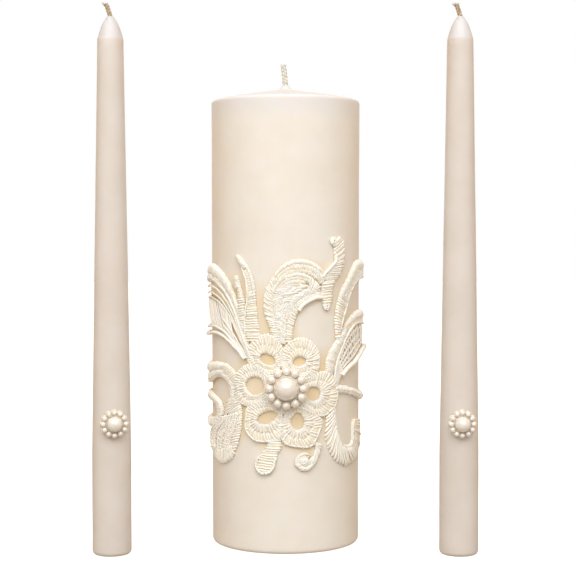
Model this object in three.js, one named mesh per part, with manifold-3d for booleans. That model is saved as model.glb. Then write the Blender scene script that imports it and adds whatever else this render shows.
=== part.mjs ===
// A unity candle set: a pillar candle dressed with a lace applique and a pearl brooch, and the
// two tapers that light it. Units are millimetres and +Z is up. The origin is the middle of
// the pillar's foot, the front faces -Y, and the two tapers stand beside it.
import * as THREE from 'three';
import { mergeVertices } from 'three/addons/utils/BufferGeometryUtils.js';
import Module from 'manifold-3d';

const wasm = await Module();
wasm.setup();

// ---------- driving dimensions ----------
const GAP = 0.3; // clear space left between pieces that touch

const PILLAR_FOOT_RADIUS = 36.6;
const PILLAR_RIM_RADIUS = 37;
const PILLAR_RIM_HEIGHT = 220;
const PILLAR_PEAK_HEIGHT = 226.5; // where the sloping top would meet the wick's middle
const PILLAR_FOOT_ROUND = 2;
const PILLAR_RIM_ROUND = 1.5;
const PILLAR_SEGMENTS = 72;

const WICK_RADIUS = 1.2;
const PILLAR_WICK_STUB = 12.4; // how far the wick stands above the wax
const PILLAR_WICK_LEAN = 1; // how far its end leans to the left

const SUSTAINER_RADIUS = 10;
const SUSTAINER_SHEET = 0.4;
const SUSTAINER_NECK_HEIGHT = 6;

const TAPER_PLACE = [83.3, -33.2]; // how far the tapers stand beside and before the pillar
const TAPER_TURNS = { left: 14, right: 1 }; // degrees that each brooch looks to the right
const TAPER_BUTT_RADIUS = 9.36;
const TAPER_BUTT_HEIGHT = 50; // below this the taper is a plain cylinder
const TAPER_NECK_RADIUS = 6.2;
const TAPER_NECK_HEIGHT = 246;
const TAPER_HEIGHT = 257;
const TAPER_BUTT_ROUND = 2;
const TAPER_SEGMENTS = 36;
const TAPER_WICK_FOOT = 8; // the wick stops this far above the butt
const TAPER_WICK_STUB = 6.9;
const TAPER_WICK_LEAN = 2;

const LACE_RADIUS = 38.2; // the radius at which the lace pattern keeps its flat width
const LACE_THICKNESS = 2.3;
const LACE_STEPS = 1; // facets between two points of a lace outline
const LACE_FACET = 8; // longest facet round the candle
const LACE_TOLERANCE = 0.05; // shorter edges left by a join are closed up

const BROOCH_PEARLS = 12;
const PILLAR_BROOCH = {
  across: 0.5,
  height: 80.2,
  standOff: LACE_THICKNESS + 2 * GAP,
  padRadius: 5,
  ringRadius: 8.1,
  lobeRadius: 2.3,
  sheet: 0.9,
  pearlRadius: 5.5,
  beadRadius: 1.75,
};
const TAPER_BROOCH = {
  across: 0,
  height: 63.7,
  standOff: 0.9,
  padRadius: 4,
  ringRadius: 5.35,
  lobeRadius: 1.52,
  sheet: 0.7,
  pearlRadius: 3.75,
  beadRadius: 1.15,
};

// ---------- lace pattern ----------
// Points are [distance round the candle, height]. A petal is a ring of satin stitches round
// an oval eye: its outline is twelve distances from the eye's middle, one each 30 degrees.
const FLOWER_EYE = { at: [0.5, 80.2], inner: 5.5, outer: 8.3 };
const PETALS = [
  { at: [6.8, 92.6], eye: [3.5, 2.4], tilt: 8,
    reach: [10.4, 11.2, 11, 11.4, 10.6, 9.6, 8.3, 7.8, 8.6, 8.1, 8.8, 10.6] },
  { at: [14, 77], eye: [3.9, 3.5], tilt: 0,
    reach: [14.5, 14.2, 12.4, 9.3, 9, 8.5, 8, 7.5, 8.1, 10.4, 12.5, 14.2] },
  { at: [6, 64], eye: [3.4, 4.2], tilt: 0,
    reach: [12.8, 8, 7, 7.3, 7.4, 6.9, 7.5, 10.4, 12.4, 12.4, 14.2, 12.6] },
  { at: [-9, 65.8], eye: [5.5, 2.9], tilt: 22,
    reach: [7.5, 8, 7.9, 7.7, 8.9, 11.5, 11.5, 13.2, 13, 11.9, 12.1, 10] },
  { at: [-15.3, 80.7], eye: [5.1, 4.5], tilt: -10,
    reach: [8.3, 9, 9.6, 10.3, 11, 11.8, 12.5, 12.3, 11, 8.7, 8.7, 8.4] },
  { at: [-8.7, 93.4], eye: [4.3, 2.6], tilt: -20,
    reach: [7.5, 8.9, 10.8, 12.2, 12.2, 11.7, 10.8, 7.9, 6.7, 6.7, 7.4, 7.2] },
];

// A band is the stitched strip between two edges.
const SEAM = 59.8; // the lace ends here, just short of the side of the candle
const LACE_BANDS = {
  fan: [
    [[-SEAM, 138.3], [-48, 139], [-41, 137.2], [-35, 133.8], [-30, 129], [-27, 124],
      [-24.5, 118], [-22, 110], [-19, 101], [-17, 95]],
    [[-SEAM, 103], [-50, 103.8], [-44, 104.6], [-39, 104.6], [-35, 103.8], [-31.5, 102.2],
      [-28.5, 100.3], [-26, 98.4], [-23.5, 96.5], [-21, 93.5]],
  ],
  feather: [
    [[-26.8, 142.2], [-23.2, 138.2], [-20.8, 133.5], [-19.7, 128], [-19.7, 122], [-20.5, 116],
      [-21.2, 110], [-20.5, 102]],
    [[-25.2, 143.9], [-21, 139.9], [-17.6, 134.8], [-15.6, 128.5], [-15, 122], [-14.4, 116],
      [-13.8, 110], [-12.5, 102]],
  ],
  branch: [
    [[-27.6, 133], [-26.8, 128.5], [-25.8, 124], [-24.8, 119], [-24, 113], [-22.5, 107]],
    [[-25.6, 133.8], [-24, 129.4], [-22.4, 124.5], [-21, 119], [-20.4, 113], [-19.5, 107]],
  ],
  scroll_back: [
    [[-5.5, 101.5], [-7.5, 109], [-10, 115], [-10.5, 121], [-9.5, 127], [-6.5, 132],
      [-3.5, 136.5], [1, 139.8], [6.5, 141.2], [12, 140.4], [17, 137.8], [20.5, 134.2]],
    [[-1, 101.5], [-2.5, 109], [-5, 114.5], [-6, 119.5], [-5.5, 124.5], [-3.4, 129],
      [-0.6, 132.4], [3, 134.4], [7.5, 134.8], [11.5, 134], [15, 132.2], [18, 129.2]],
  ],
  scroll_heart: [
    [[-6, 125.5], [-4.5, 129.5], [-1, 133], [4, 135], [9, 134.5], [13, 132.5], [17, 129.5]],
    [[-2.5, 123.5], [-1, 126.3], [2, 128], [6, 128.4], [9.5, 127.8], [12.5, 126.2], [15, 124]],
  ],
  scroll_belly: [
    [[17.5, 129.5], [12, 128], [6, 125.6], [1.5, 121.6], [-1.4, 117], [-3, 111], [-2.8, 101.7]],
    [[18.5, 123.2], [14.5, 122.8], [10.5, 121], [7.2, 118], [5, 113.5], [3.8, 108], [3, 101.5]],
  ],
  stem: [
    [[23, 149.3], [25.6, 147.3], [26.3, 143.5], [25.8, 140], [22.3, 137], [18.8, 133.5],
      [17.6, 128.5], [17.6, 123], [18.8, 118]],
    [[27.5, 153], [32, 150], [33.2, 145.5], [33, 140.5], [31.4, 135.3], [27.3, 131.3],
      [25.2, 127], [25, 122], [23.5, 118.3]],
  ],
  blade: [
    [[SEAM, 140], [50, 141], [44, 140], [39, 136.5], [34.5, 131], [30.5, 126], [28, 121],
      [26.7, 115], [26.6, 109], [27.6, 102.1]],
    [[SEAM, 132], [50, 131.8], [44, 130.2], [39.5, 127], [36.5, 123], [34.5, 118.5],
      [32.5, 114], [31, 110.5], [30.5, 106.8], [30.8, 102.6]],
  ],
  stalk: [
    [[SEAM, 115.5], [50, 116.2], [43, 115.2], [38, 112.8], [33.5, 109.6], [30, 105],
      [26.5, 101.5], [23, 97.5], [20.8, 93], [20, 87]],
    [[SEAM, 108.5], [50, 109.5], [44, 109.5], [39.5, 108], [36, 105.5], [33, 102],
      [30.6, 98], [28.6, 94], [27.2, 90], [26, 84]],
  ],
  net: [
    [[SEAM, 109.2], [50, 110.2], [44, 110.2], [39, 108.6], [35.4, 106], [32.4, 102.3],
      [30, 98.2], [28, 94.2], [26.6, 90.2], [25.4, 85]],
    [[SEAM, 96.8], [52, 95.5], [47, 93.2], [43, 91], [39.5, 89.4], [36, 88.2], [33, 86.8],
      [30.8, 85], [29.3, 82.5], [27.5, 79.5]],
  ],
  bridge: [
    [[26.5, 80.3], [33, 79.2], [38, 78.2], [44, 76.8], [50, 75], [SEAM, 73.8]],
    [[26.5, 78.1], [33, 77], [38, 76], [44, 74.6], [50, 72.8], [SEAM, 71.6]],
  ],
  hook: [
    [[22, 69.5], [20.6, 61], [21.3, 54], [23.4, 48.5], [27, 44.2], [31.5, 41.5], [36.5, 40.8],
      [42, 42], [47.5, 45], [51.3, 50], [52.8, 56], [52, 62]],
    [[26.2, 69.5], [27.4, 61], [28.8, 56], [31, 52.4], [33.5, 51], [36, 50.6], [38, 50.6],
      [39.7, 51.6], [40.3, 54], [40.4, 57], [40.6, 60], [41.5, 62.8]],
  ],
  loop_top: [
    [[-SEAM, 90], [-50, 90.2], [-43, 90.8], [-36.5, 90.8], [-31, 89.6], [-26.5, 86.5], [-24, 82]],
    [[-SEAM, 79.5], [-50, 80.5], [-43.5, 83], [-38, 84], [-34, 83.2], [-31, 80.8], [-29, 77]],
  ],
  loop_low: [
    [[-SEAM, 76.5], [-50, 75.2], [-43.5, 74], [-38, 71.8], [-36, 67.5], [-37.5, 62.8],
      [-43, 59.2], [-50, 58.4], [-SEAM, 58.4]],
    [[-SEAM, 72.5], [-50, 71.4], [-44.8, 70.6], [-42, 69], [-41.2, 67], [-42, 65],
      [-45, 63.6], [-50, 63], [-SEAM, 63]],
  ],
  column: [
    [[-33, 74], [-33.5, 69], [-33, 64], [-32.5, 58]],
    [[-24, 76], [-23.6, 71], [-23.2, 66], [-24.6, 58.5]],
  ],
  leaf: [
    [[-34, 65], [-38.5, 62], [-44.5, 59.5], [-49.5, 55.5], [-50.5, 49.5], [-47.5, 45],
      [-43, 42.4]],
    [[-23.8, 62], [-24.6, 58.5], [-26.2, 54.8], [-28.6, 51], [-31.2, 47.2], [-34, 44],
      [-37.5, 42]],
  ],
  drop: [
    [[-9.2, 56.5], [-9.6, 51.8], [-12, 48.6], [-14.2, 45.6], [-14.2, 42.4], [-11.6, 40]],
    [[-2.4, 56.5], [-2, 51.6], [-3.8, 48], [-5, 45], [-6.2, 42.2], [-9.4, 39.9]],
  ],
  curl: [
    [[18, 55.2], [18.4, 48.6], [17, 45], [14.4, 42.2], [10.8, 40.8], [7, 41.3], [5, 44],
      [5.6, 47.3], [8.6, 49.3], [12, 48.6]],
    [[13.5, 54.8], [14.9, 49], [14, 46.3], [12.3, 44.6], [10.2, 43.8], [8.6, 44.2],
      [8.1, 45.3], [8.5, 46.3], [9.6, 46.8], [10.8, 46.2]],
  ],
};

// ---------- materials ----------
function finish(color, roughness, metalness = 0) {
  return new THREE.MeshStandardMaterial({ color, roughness, metalness });
}
const PILLAR_WAX = finish('#efe3d2', 0.45);
const TAPER_WAX = finish('#e8d8c4', 0.42);
const WICK_COTTON = finish('#d9c7a8', 0.9);
const LACE_THREAD = finish('#f5eee0', 0.7);
const PEARL = finish('#f4ece0', 0.2);
const GILT = finish('#c9b48c', 0.35, 0.9);
const GLUE = finish('#e9dcc0', 0.4);
const STEEL = finish('#b9bcc0', 0.4, 1);

// ---------- shared shapes ----------
const radians = THREE.MathUtils.degToRad;

// Corner points [radius, height] of a quarter round, from one angle to another.
function roundCorner(radius, height, size, from, to, steps = 3) {
  return Array.from({ length: steps + 1 }, (_, i) => {
    const angle = radians(from + ((to - from) * i) / steps);
    return [radius + size * Math.cos(angle), height + size * Math.sin(angle)];
  });
}

// Turns an outline of [radius, height] points round the Z axis.
function turned(outline, segments) {
  const points = outline.map(([radius, height]) => new THREE.Vector2(radius, height));
  return new THREE.LatheGeometry(points, segments).rotateX(Math.PI / 2);
}

function piece(name, geometry, material) {
  const mesh = new THREE.Mesh(geometry, material);
  mesh.name = name;
  return mesh;
}

// ---------- solids for joining and cutting ----------
function solidFromTriangles(vertices, triangles) {
  const make = (order) => new wasm.Manifold(new wasm.Mesh({
    numProp: 3,
    vertProperties: new Float32Array(vertices.flat()),
    triVerts: new Uint32Array(triangles.flatMap(order)),
    tolerance: LACE_TOLERANCE,
  }));
  const solid = make((corners) => corners);
  return solid.volume() < 0 ? make(([a, b, c]) => [a, c, b]) : solid;
}

function solidFromGeometry(geometry) {
  const bare = geometry.clone().deleteAttribute('normal').deleteAttribute('uv');
  const merged = mergeVertices(bare, 1e-4);
  return new wasm.Manifold(new wasm.Mesh({
    numProp: 3,
    vertProperties: merged.attributes.position.array,
    triVerts: new Uint32Array(merged.index.array),
  }));
}

function meshOfSolid(solid) {
  const { vertProperties, triVerts, numProp } = solid.getMesh();
  const vertices = [];
  for (let i = 0; i < vertProperties.length; i += numProp) {
    vertices.push([...vertProperties.slice(i, i + 3)]);
  }
  const triangles = [];
  for (let i = 0; i < triVerts.length; i += 3) triangles.push([...triVerts.slice(i, i + 3)]);
  return { vertices, triangles };
}

function geometryFrom(vertices, triangles) {
  const geometry = new THREE.BufferGeometry();
  geometry.setAttribute('position', new THREE.Float32BufferAttribute(vertices.flat(), 3));
  geometry.setIndex(triangles.flat());
  geometry.computeVertexNormals();
  return geometry;
}

// ---------- wax and wicks ----------
const BORE_RADIUS = WICK_RADIUS + GAP;
const PILLAR_TOP_SLOPE = (PILLAR_PEAK_HEIGHT - PILLAR_RIM_HEIGHT) / PILLAR_RIM_RADIUS;

function pillarWax() {
  const recess = SUSTAINER_RADIUS + GAP;
  const recessTop = SUSTAINER_SHEET + GAP;
  const neck = WICK_RADIUS + 2 * GAP + SUSTAINER_SHEET;
  const neckTop = SUSTAINER_NECK_HEIGHT + GAP;
  const footMiddle = PILLAR_FOOT_RADIUS - PILLAR_FOOT_ROUND;
  const rimMiddle = PILLAR_RIM_RADIUS - PILLAR_RIM_ROUND;
  const outline = [
    [recess, recessTop],
    [recess, 0],
    ...roundCorner(footMiddle, PILLAR_FOOT_ROUND, PILLAR_FOOT_ROUND, -90, 0),
    ...roundCorner(rimMiddle, PILLAR_RIM_HEIGHT - PILLAR_RIM_ROUND, PILLAR_RIM_ROUND, 0, 80),
    [BORE_RADIUS, PILLAR_PEAK_HEIGHT - BORE_RADIUS * PILLAR_TOP_SLOPE],
    [BORE_RADIUS, neckTop],
    [neck, neckTop],
    [neck, recessTop],
    [recess, recessTop],
  ];
  return piece('pillar_wax', turned(outline, PILLAR_SEGMENTS), PILLAR_WAX);
}

// A pressed steel disc at the foot with a neck that grips the wick's end.
function wickSustainer() {
  const neckInner = WICK_RADIUS + GAP;
  const neckOuter = neckInner + SUSTAINER_SHEET;
  const outline = [
    [0, 0],
    [SUSTAINER_RADIUS, 0],
    [SUSTAINER_RADIUS, SUSTAINER_SHEET],
    [neckOuter, SUSTAINER_SHEET],
    [neckOuter, SUSTAINER_NECK_HEIGHT],
    [neckInner, SUSTAINER_NECK_HEIGHT],
    [neckInner, SUSTAINER_SHEET],
    [0, SUSTAINER_SHEET],
  ];
  return piece('wick_sustainer', turned(outline, 32), STEEL);
}

// A braided cotton wick, straight inside the wax, whose free end leans to the left.
function wick(name, foot, wax, stub, lean) {
  const top = wax + stub;
  const bends = [0, 0.25, 0.5, 0.75, 1].map((part) => wax + GAP + part * (stub - GAP));
  const outline = [
    [0, foot],
    [WICK_RADIUS, foot],
    ...bends.map((height) => [WICK_RADIUS, height]),
    [0, top],
  ];
  const geometry = turned(outline, 10);
  const places = geometry.attributes.position;
  for (let i = 0; i < places.count; i += 1) {
    const free = Math.max(0, (places.getZ(i) - wax - GAP) / (stub - GAP));
    places.setX(i, places.getX(i) - lean * free ** 1.2);
  }
  return piece(name, geometry, WICK_COTTON);
}

function taperWax(name) {
  const outline = [
    [0, 0],
    ...roundCorner(TAPER_BUTT_RADIUS - TAPER_BUTT_ROUND, TAPER_BUTT_ROUND, TAPER_BUTT_ROUND, -90, 0),
    [TAPER_BUTT_RADIUS, TAPER_BUTT_HEIGHT],
    [TAPER_NECK_RADIUS, TAPER_NECK_HEIGHT],
    [TAPER_NECK_RADIUS - 0.2, TAPER_NECK_HEIGHT + 0.2],
    [4.54, TAPER_NECK_HEIGHT + 4.4],
    [3.2, TAPER_NECK_HEIGHT + 8.1],
    [BORE_RADIUS, TAPER_HEIGHT - 0.7],
    [BORE_RADIUS, TAPER_WICK_FOOT],
    [0, TAPER_WICK_FOOT],
  ];
  return piece(name, turned(outline, TAPER_SEGMENTS), TAPER_WAX);
}

// ---------- lace applique ----------
// Evenly spaced points on the smooth curve through an edge's points.
function smoothEdge(points) {
  const curve = new THREE.SplineCurve(points.map(([u, z]) => new THREE.Vector2(u, z)));
  return curve.getPoints((points.length - 1) * LACE_STEPS).map(({ x, y }) => [x, y]);
}

function ovalEdge([u, z], [width, height], tilt, count) {
  return Array.from({ length: count }, (_, i) => {
    const angle = (2 * Math.PI * i) / count - radians(tilt);
    const across = width * Math.cos(angle);
    const up = height * Math.sin(angle);
    const turn = radians(tilt);
    return [
      u + across * Math.cos(turn) - up * Math.sin(turn),
      z + across * Math.sin(turn) + up * Math.cos(turn),
    ];
  });
}

function petalEdges({ at, eye, tilt, reach }) {
  const outline = reach.map((distance, i) => {
    const angle = (2 * Math.PI * i) / reach.length;
    return new THREE.Vector3(
      at[0] + distance * Math.cos(angle),
      at[1] + distance * Math.sin(angle),
      0,
    );
  });
  const curve = new THREE.CatmullRomCurve3(outline, true);
  const count = reach.length * LACE_STEPS;
  const outer = Array.from({ length: count }, (_, i) => {
    const { x, y } = curve.getPoint(i / count);
    return [x, y];
  });
  return [ovalEdge(at, eye, tilt, count), outer];
}

// A flat strip of lace between two edges, lying in the X-Z plane with its back on Y = 0.
function flatStrip([inner, outer], closed) {
  const vertices = inner.flatMap((point, i) => [point, outer[i]].flatMap(([u, z]) => [
    [u, -GAP, z],
    [u, -GAP - LACE_THICKNESS, z],
  ]));
  const triangles = [];
  const quad = (a, b, c, d) => triangles.push([a, b, c], [a, c, d]);
  const count = inner.length;
  for (let i = 0; i < (closed ? count : count - 1); i += 1) {
    const here = 4 * i;
    const next = 4 * ((i + 1) % count);
    quad(here, next, next + 2, here + 2);
    quad(here + 1, here + 3, next + 3, next + 1);
    quad(here, here + 1, next + 1, next);
    quad(here + 2, next + 2, next + 3, here + 3);
  }
  if (!closed) {
    const end = 4 * (count - 1);
    quad(0, 2, 3, 1);
    quad(end, end + 1, end + 3, end + 2);
  }
  return solidFromTriangles(vertices, triangles);
}

// Splits each facet edge that runs too far round the candle to follow its curve.
function splitLongEdges(vertices, triangles) {
  const middles = new Map();
  const middle = (a, b) => {
    if (Math.abs(vertices[a][0] - vertices[b][0]) <= LACE_FACET) return undefined;
    const key = `${Math.min(a, b)}_${Math.max(a, b)}`;
    if (!middles.has(key)) {
      middles.set(key, vertices.length);
      vertices.push(vertices[a].map((value, axis) => (value + vertices[b][axis]) / 2));
    }
    return middles.get(key);
  };
  const finer = triangles.flatMap((corners) => {
    const cuts = corners.map((corner, i) => middle(corner, corners[(i + 1) % 3]));
    const count = cuts.filter((cut) => cut !== undefined).length;
    if (count === 0) return [corners];
    // Turn the triangle so that its first side is cut and, of two cuts, they are the first two.
    const first = [0, 1, 2].find((i) => cuts[i] !== undefined
      && (count !== 2 || cuts[(i + 1) % 3] !== undefined));
    const [a, b, c] = [0, 1, 2].map((i) => corners[(first + i) % 3]);
    const [ab, bc, ca] = [0, 1, 2].map((i) => cuts[(first + i) % 3]);
    if (count === 1) return [[a, ab, c], [ab, b, c]];
    if (count === 2) return [[ab, b, bc], [a, ab, bc], [a, bc, c]];
    return [[a, ab, ca], [ab, b, bc], [ca, bc, c], [ab, bc, ca]];
  });
  return middles.size ? splitLongEdges(vertices, finer) : triangles;
}

// Rolls the flat lace round the pillar: X becomes the way round and -Y the height off the wax.
function rollRoundPillar(vertices) {
  return vertices.map(([u, y, z]) => {
    const angle = u / LACE_RADIUS;
    const radius = PILLAR_RIM_RADIUS - y;
    return [radius * Math.sin(angle), -radius * Math.cos(angle), z];
  });
}

function laceGeometry() {
  const { at, inner, outer } = FLOWER_EYE;
  const eyeEdges = [inner, outer].map((radius) => ovalEdge(at, [radius, radius], 0, 24));
  const strips = [
    flatStrip(eyeEdges, true),
    ...PETALS.map((petal) => flatStrip(petalEdges(petal), true)),
    ...Object.values(LACE_BANDS).map((edges) => flatStrip(edges.map(smoothEdge), false)),
  ];
  const flat = meshOfSolid(strips.reduce((joined, strip) => joined.add(strip)));
  const triangles = splitLongEdges(flat.vertices, flat.triangles);
  return geometryFrom(rollRoundPillar(flat.vertices), triangles);
}

function lace() {
  const geometry = laceGeometry();
  const front = piece('front_lace', geometry, LACE_THREAD);
  const back = piece('back_lace', geometry, LACE_THREAD);
  back.scale.y = -1; // the back's pattern is the front's seen in a mirror, so the edges meet
  return [front, back];
}

// ---------- pearl brooches ----------
function halfPearl(radius, segments, steps) {
  const dome = Array.from({ length: steps + 1 }, (_, i) => {
    const angle = radians(-20 + (110 * i) / steps);
    return [radius * Math.cos(angle), radius * (Math.sin(angle) + Math.sin(radians(20)))];
  });
  return turned([[0, 0], ...dome], segments).rotateX(Math.PI / 2);
}

// The scalloped back plate: one round lobe under each small pearl.
function settingPlate({ ringRadius, lobeRadius, sheet }) {
  const shape = new THREE.Shape();
  const half = Math.PI / BROOCH_PEARLS;
  const meet = Math.acos((ringRadius * Math.sin(half)) / lobeRadius);
  const spread = Math.PI / 2 + half - meet;
  for (let i = 0; i < BROOCH_PEARLS; i += 1) {
    const angle = 2 * half * i;
    const across = ringRadius * Math.cos(angle);
    const up = ringRadius * Math.sin(angle);
    shape.absarc(across, up, lobeRadius, angle - spread, angle + spread, false);
  }
  const options = { depth: sheet, bevelEnabled: false, curveSegments: 4 };
  return new THREE.ExtrudeGeometry(shape, options).rotateX(Math.PI / 2);
}

// The blob of glue between the plate and the round wax.
function gluePad({ across, height, standOff, padRadius }, waxRadius) {
  const depth = standOff - GAP + 2;
  const blob = new THREE.CylinderGeometry(padRadius, padRadius, depth, 20);
  blob.translate(across, -(waxRadius + standOff - GAP) + depth / 2, height);
  const wax = new THREE.CylinderGeometry(waxRadius + GAP, waxRadius + GAP, 4 * padRadius, 72);
  wax.rotateX(Math.PI / 2).translate(0, 0, height);
  const pad = solidFromGeometry(blob).subtract(solidFromGeometry(wax));
  const { vertices, triangles } = meshOfSolid(pad);
  return geometryFrom(vertices, triangles);
}

function brooch(owner, size, waxRadius) {
  const { across, height, standOff, ringRadius, sheet, pearlRadius, beadRadius } = size;
  const plateBack = -(waxRadius + standOff);
  const pearlBack = plateBack - sheet - GAP;
  const plate = piece(`${owner}_brooch_setting`, settingPlate(size), GILT);
  plate.position.set(across, plateBack, height);
  const pearl = piece(`${owner}_brooch_pearl`, halfPearl(pearlRadius, 20, 5), PEARL);
  pearl.position.set(across, pearlBack, height);
  const beads = Array.from({ length: BROOCH_PEARLS }, (_, i) => {
    const angle = (2 * Math.PI * i) / BROOCH_PEARLS;
    const name = `${owner}_ring_pearl_${String(i + 1).padStart(2, '0')}`;
    const bead = piece(name, halfPearl(beadRadius, 8, 3), PEARL);
    const aside = ringRadius * Math.cos(angle);
    const up = ringRadius * Math.sin(angle);
    bead.position.set(across + aside, pearlBack, height + up);
    return bead;
  });
  return [piece(`${owner}_brooch_glue`, gluePad(size, waxRadius), GLUE), plate, pearl, ...beads];
}

// ---------- the set ----------
function pillar() {
  const group = new THREE.Group();
  const wickFoot = SUSTAINER_SHEET + GAP;
  group.add(
    pillarWax(),
    wickSustainer(),
    wick('pillar_wick', wickFoot, PILLAR_PEAK_HEIGHT, PILLAR_WICK_STUB, PILLAR_WICK_LEAN),
    ...lace(),
    ...brooch('pillar', PILLAR_BROOCH, PILLAR_RIM_RADIUS),
  );
  return group;
}

function taper(side, sign) {
  const group = new THREE.Group();
  const wickFoot = TAPER_WICK_FOOT + GAP;
  const waxTop = TAPER_HEIGHT - 0.5;
  group.add(
    taperWax(`${side}_taper_wax`),
    wick(`${side}_taper_wick`, wickFoot, waxTop, TAPER_WICK_STUB, TAPER_WICK_LEAN),
    ...brooch(`${side}_taper`, TAPER_BROOCH, TAPER_BUTT_RADIUS),
  );
  group.position.set(sign * TAPER_PLACE[0], TAPER_PLACE[1], 0);
  group.rotation.z = radians(TAPER_TURNS[side]);
  return group;
}

const group = new THREE.Group();
group.add(pillar(), taper('left', -1), taper('right', 1));

export default group;
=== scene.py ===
# %% [markdown]
# # A unity candle set
# A pillar candle dressed in guipure lace with a pearl brooch, and the two tapers that light it.
# The imported CAD model is the fixed frame: it gives every place and size. Each piece below is a
# finer mesh that stands where its CAD node is and rides on the same body.

# %% Load the frame
import math

import bmesh
import bpy
import numpy as np
from mathutils import Matrix, Vector, noise


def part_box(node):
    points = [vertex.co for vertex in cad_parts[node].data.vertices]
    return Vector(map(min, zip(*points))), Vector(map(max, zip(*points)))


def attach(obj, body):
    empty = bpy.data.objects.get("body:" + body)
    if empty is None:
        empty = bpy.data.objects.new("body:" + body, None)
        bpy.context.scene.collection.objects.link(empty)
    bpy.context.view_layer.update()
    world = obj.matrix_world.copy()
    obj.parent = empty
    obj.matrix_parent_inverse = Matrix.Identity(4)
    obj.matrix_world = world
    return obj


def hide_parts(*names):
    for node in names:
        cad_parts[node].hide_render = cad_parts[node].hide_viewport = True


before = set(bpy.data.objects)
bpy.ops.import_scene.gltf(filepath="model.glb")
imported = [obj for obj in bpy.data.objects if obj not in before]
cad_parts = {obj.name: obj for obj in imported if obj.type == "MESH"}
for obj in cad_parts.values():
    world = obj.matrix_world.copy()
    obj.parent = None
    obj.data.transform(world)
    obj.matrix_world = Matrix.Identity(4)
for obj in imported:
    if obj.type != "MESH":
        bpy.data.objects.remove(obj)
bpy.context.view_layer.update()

# %% [markdown]
# ## Units and small helpers
# Sizes are written in millimetres, as on a maker's drawing, and turned to metres at the last
# moment. A mesh could be made with the operators of the edit mode, but those depend on what is
# selected. Plain lists of points and faces, cleaned by bmesh, give the same mesh on each run.

# %% Millimetres and meshes
MM = 0.001


def clean_mesh(name, points, faces):
    """A mesh from points in millimetres: doubles merged, faces outwards, shaded smooth."""
    mesh = bpy.data.meshes.new(name)
    mesh.from_pydata((np.asarray(points, float) * MM).tolist(), [], faces)
    work = bmesh.new()
    work.from_mesh(mesh)
    bmesh.ops.remove_doubles(work, verts=work.verts, dist=1e-7)
    bmesh.ops.recalc_face_normals(work, faces=work.faces)
    work.to_mesh(mesh)
    work.free()
    mesh.shade_smooth()
    return mesh


def joined_mesh(name, meshes):
    """Several meshes as one, each keeping its own faces."""
    work = bmesh.new()
    for mesh in meshes:
        work.from_mesh(mesh)
    whole = bpy.data.meshes.new(name)
    work.to_mesh(whole)
    work.free()
    whole.shade_smooth()
    return whole


def add_object(name, mesh):
    """Puts a mesh in the scene as an object."""
    piece = bpy.data.objects.new(name, mesh)
    bpy.context.scene.collection.objects.link(piece)
    return piece


def finish_piece(name, mesh, finish, body, nodes):
    """Makes the piece, gives it its finish, puts it on its body and hides the CAD nodes it stands for.
    """
    mesh.materials.clear()
    mesh.materials.append(finish)
    piece = add_object(name, mesh)
    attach(piece, body)
    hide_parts(*nodes)
    triangles = sum(len(face.vertices) - 2 for face in mesh.polygons)
    print(f"{name}: {triangles} triangles on {body}")
    return piece


def full_turn(count):
    """Even angles all the way round."""
    return np.arange(count) * 2 * math.pi / count


def round_points(centre, radius, angles):
    """Flat points round a centre, at one radius or at one for each angle."""
    return np.add(centre, np.column_stack([radius * np.cos(angles), radius * np.sin(angles)]))


def at_height(flat, height):
    """Flat points raised to a height, one or one for each."""
    return np.column_stack([flat, np.broadcast_to(height, len(flat))])


def lofted_mesh(name, rings):
    """A skin from each ring of points to the next. A ring of one point is a pole."""
    count = max(len(ring) for ring in rings)
    points = []
    numbers = []
    for ring in rings:
        steps = np.arange(count) if len(ring) > 1 else np.zeros(count, int)
        numbers.append((len(points) + steps).tolist())
        points.extend(ring)
    faces = []
    for low, high in zip(numbers, numbers[1:]):
        for i in range(count):
            corners = dict.fromkeys([low[i - 1], low[i], high[i], high[i - 1]])
            if len(corners) > 2:
                faces.append(list(corners))
    return clean_mesh(name, points, faces)


def turned_mesh(name, outline, segments):
    """Turns an outline of [radius, height] points round the Z axis, closing it at the poles."""
    angles = full_turn(segments)
    return lofted_mesh(name, [
        at_height(round_points((0, 0), radius, angles if radius else angles[:1]), height)
        for radius, height in outline
    ])


# %% [markdown]
# ## Camera
# The set is seen from straight in front, a little above its middle, from about two thirds of
# a metre. The long lens keeps the candles' sides close to upright.

# %% Camera
CAMERA_PLACE = (0.00126, -0.679, 0.1444)
CAMERA_DIP = 1.49
CAMERA_LENS = 84.4
camera = bpy.data.objects.new("camera", bpy.data.cameras.new("camera"))
bpy.context.scene.collection.objects.link(camera)
camera.location = CAMERA_PLACE
camera.rotation_euler = (math.radians(90 - CAMERA_DIP), 0, 0)
camera.data.sensor_width = 36
camera.data.lens = CAMERA_LENS
camera.data.clip_start = 0.01
bpy.context.scene.camera = camera
print(f"camera: {CAMERA_LENS} mm lens, {CAMERA_DIP} degrees down, at", CAMERA_PLACE)

# %% [markdown]
# ## Light
# Such candles are shown in a white tent: one wide softbox hangs in front and above, and the
# tent's walls fill in. The front wall and the ceiling are a bright neutral grey. The sides are a
# deep warm tan, which rounds the wax and darkens its edges, and the rear wall is pale again. The
# table is dimmer, and leaves a darker crescent low on each pearl. Lamps could stand in for the
# walls, but a world that blends a few colours by direction is softer and has no edges. It shows
# plain white where the camera looks past the candles.

# %% Small node helpers
def add_node(tree, kind, links=None, **settings):
    """Adds a node. links maps an input's name or number to a value, an output or a node.

    A node stands for its first output.
    """
    node = tree.nodes.new(kind)
    for name, value in settings.items():
        setattr(node, name, value)
    for key, source in (links or {}).items():
        if isinstance(source, bpy.types.Node):
            source = source.outputs[0]
        if isinstance(source, bpy.types.NodeSocket):
            tree.links.new(source, node.inputs[key])
        else:
            node.inputs[key].default_value = source
    return node


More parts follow.
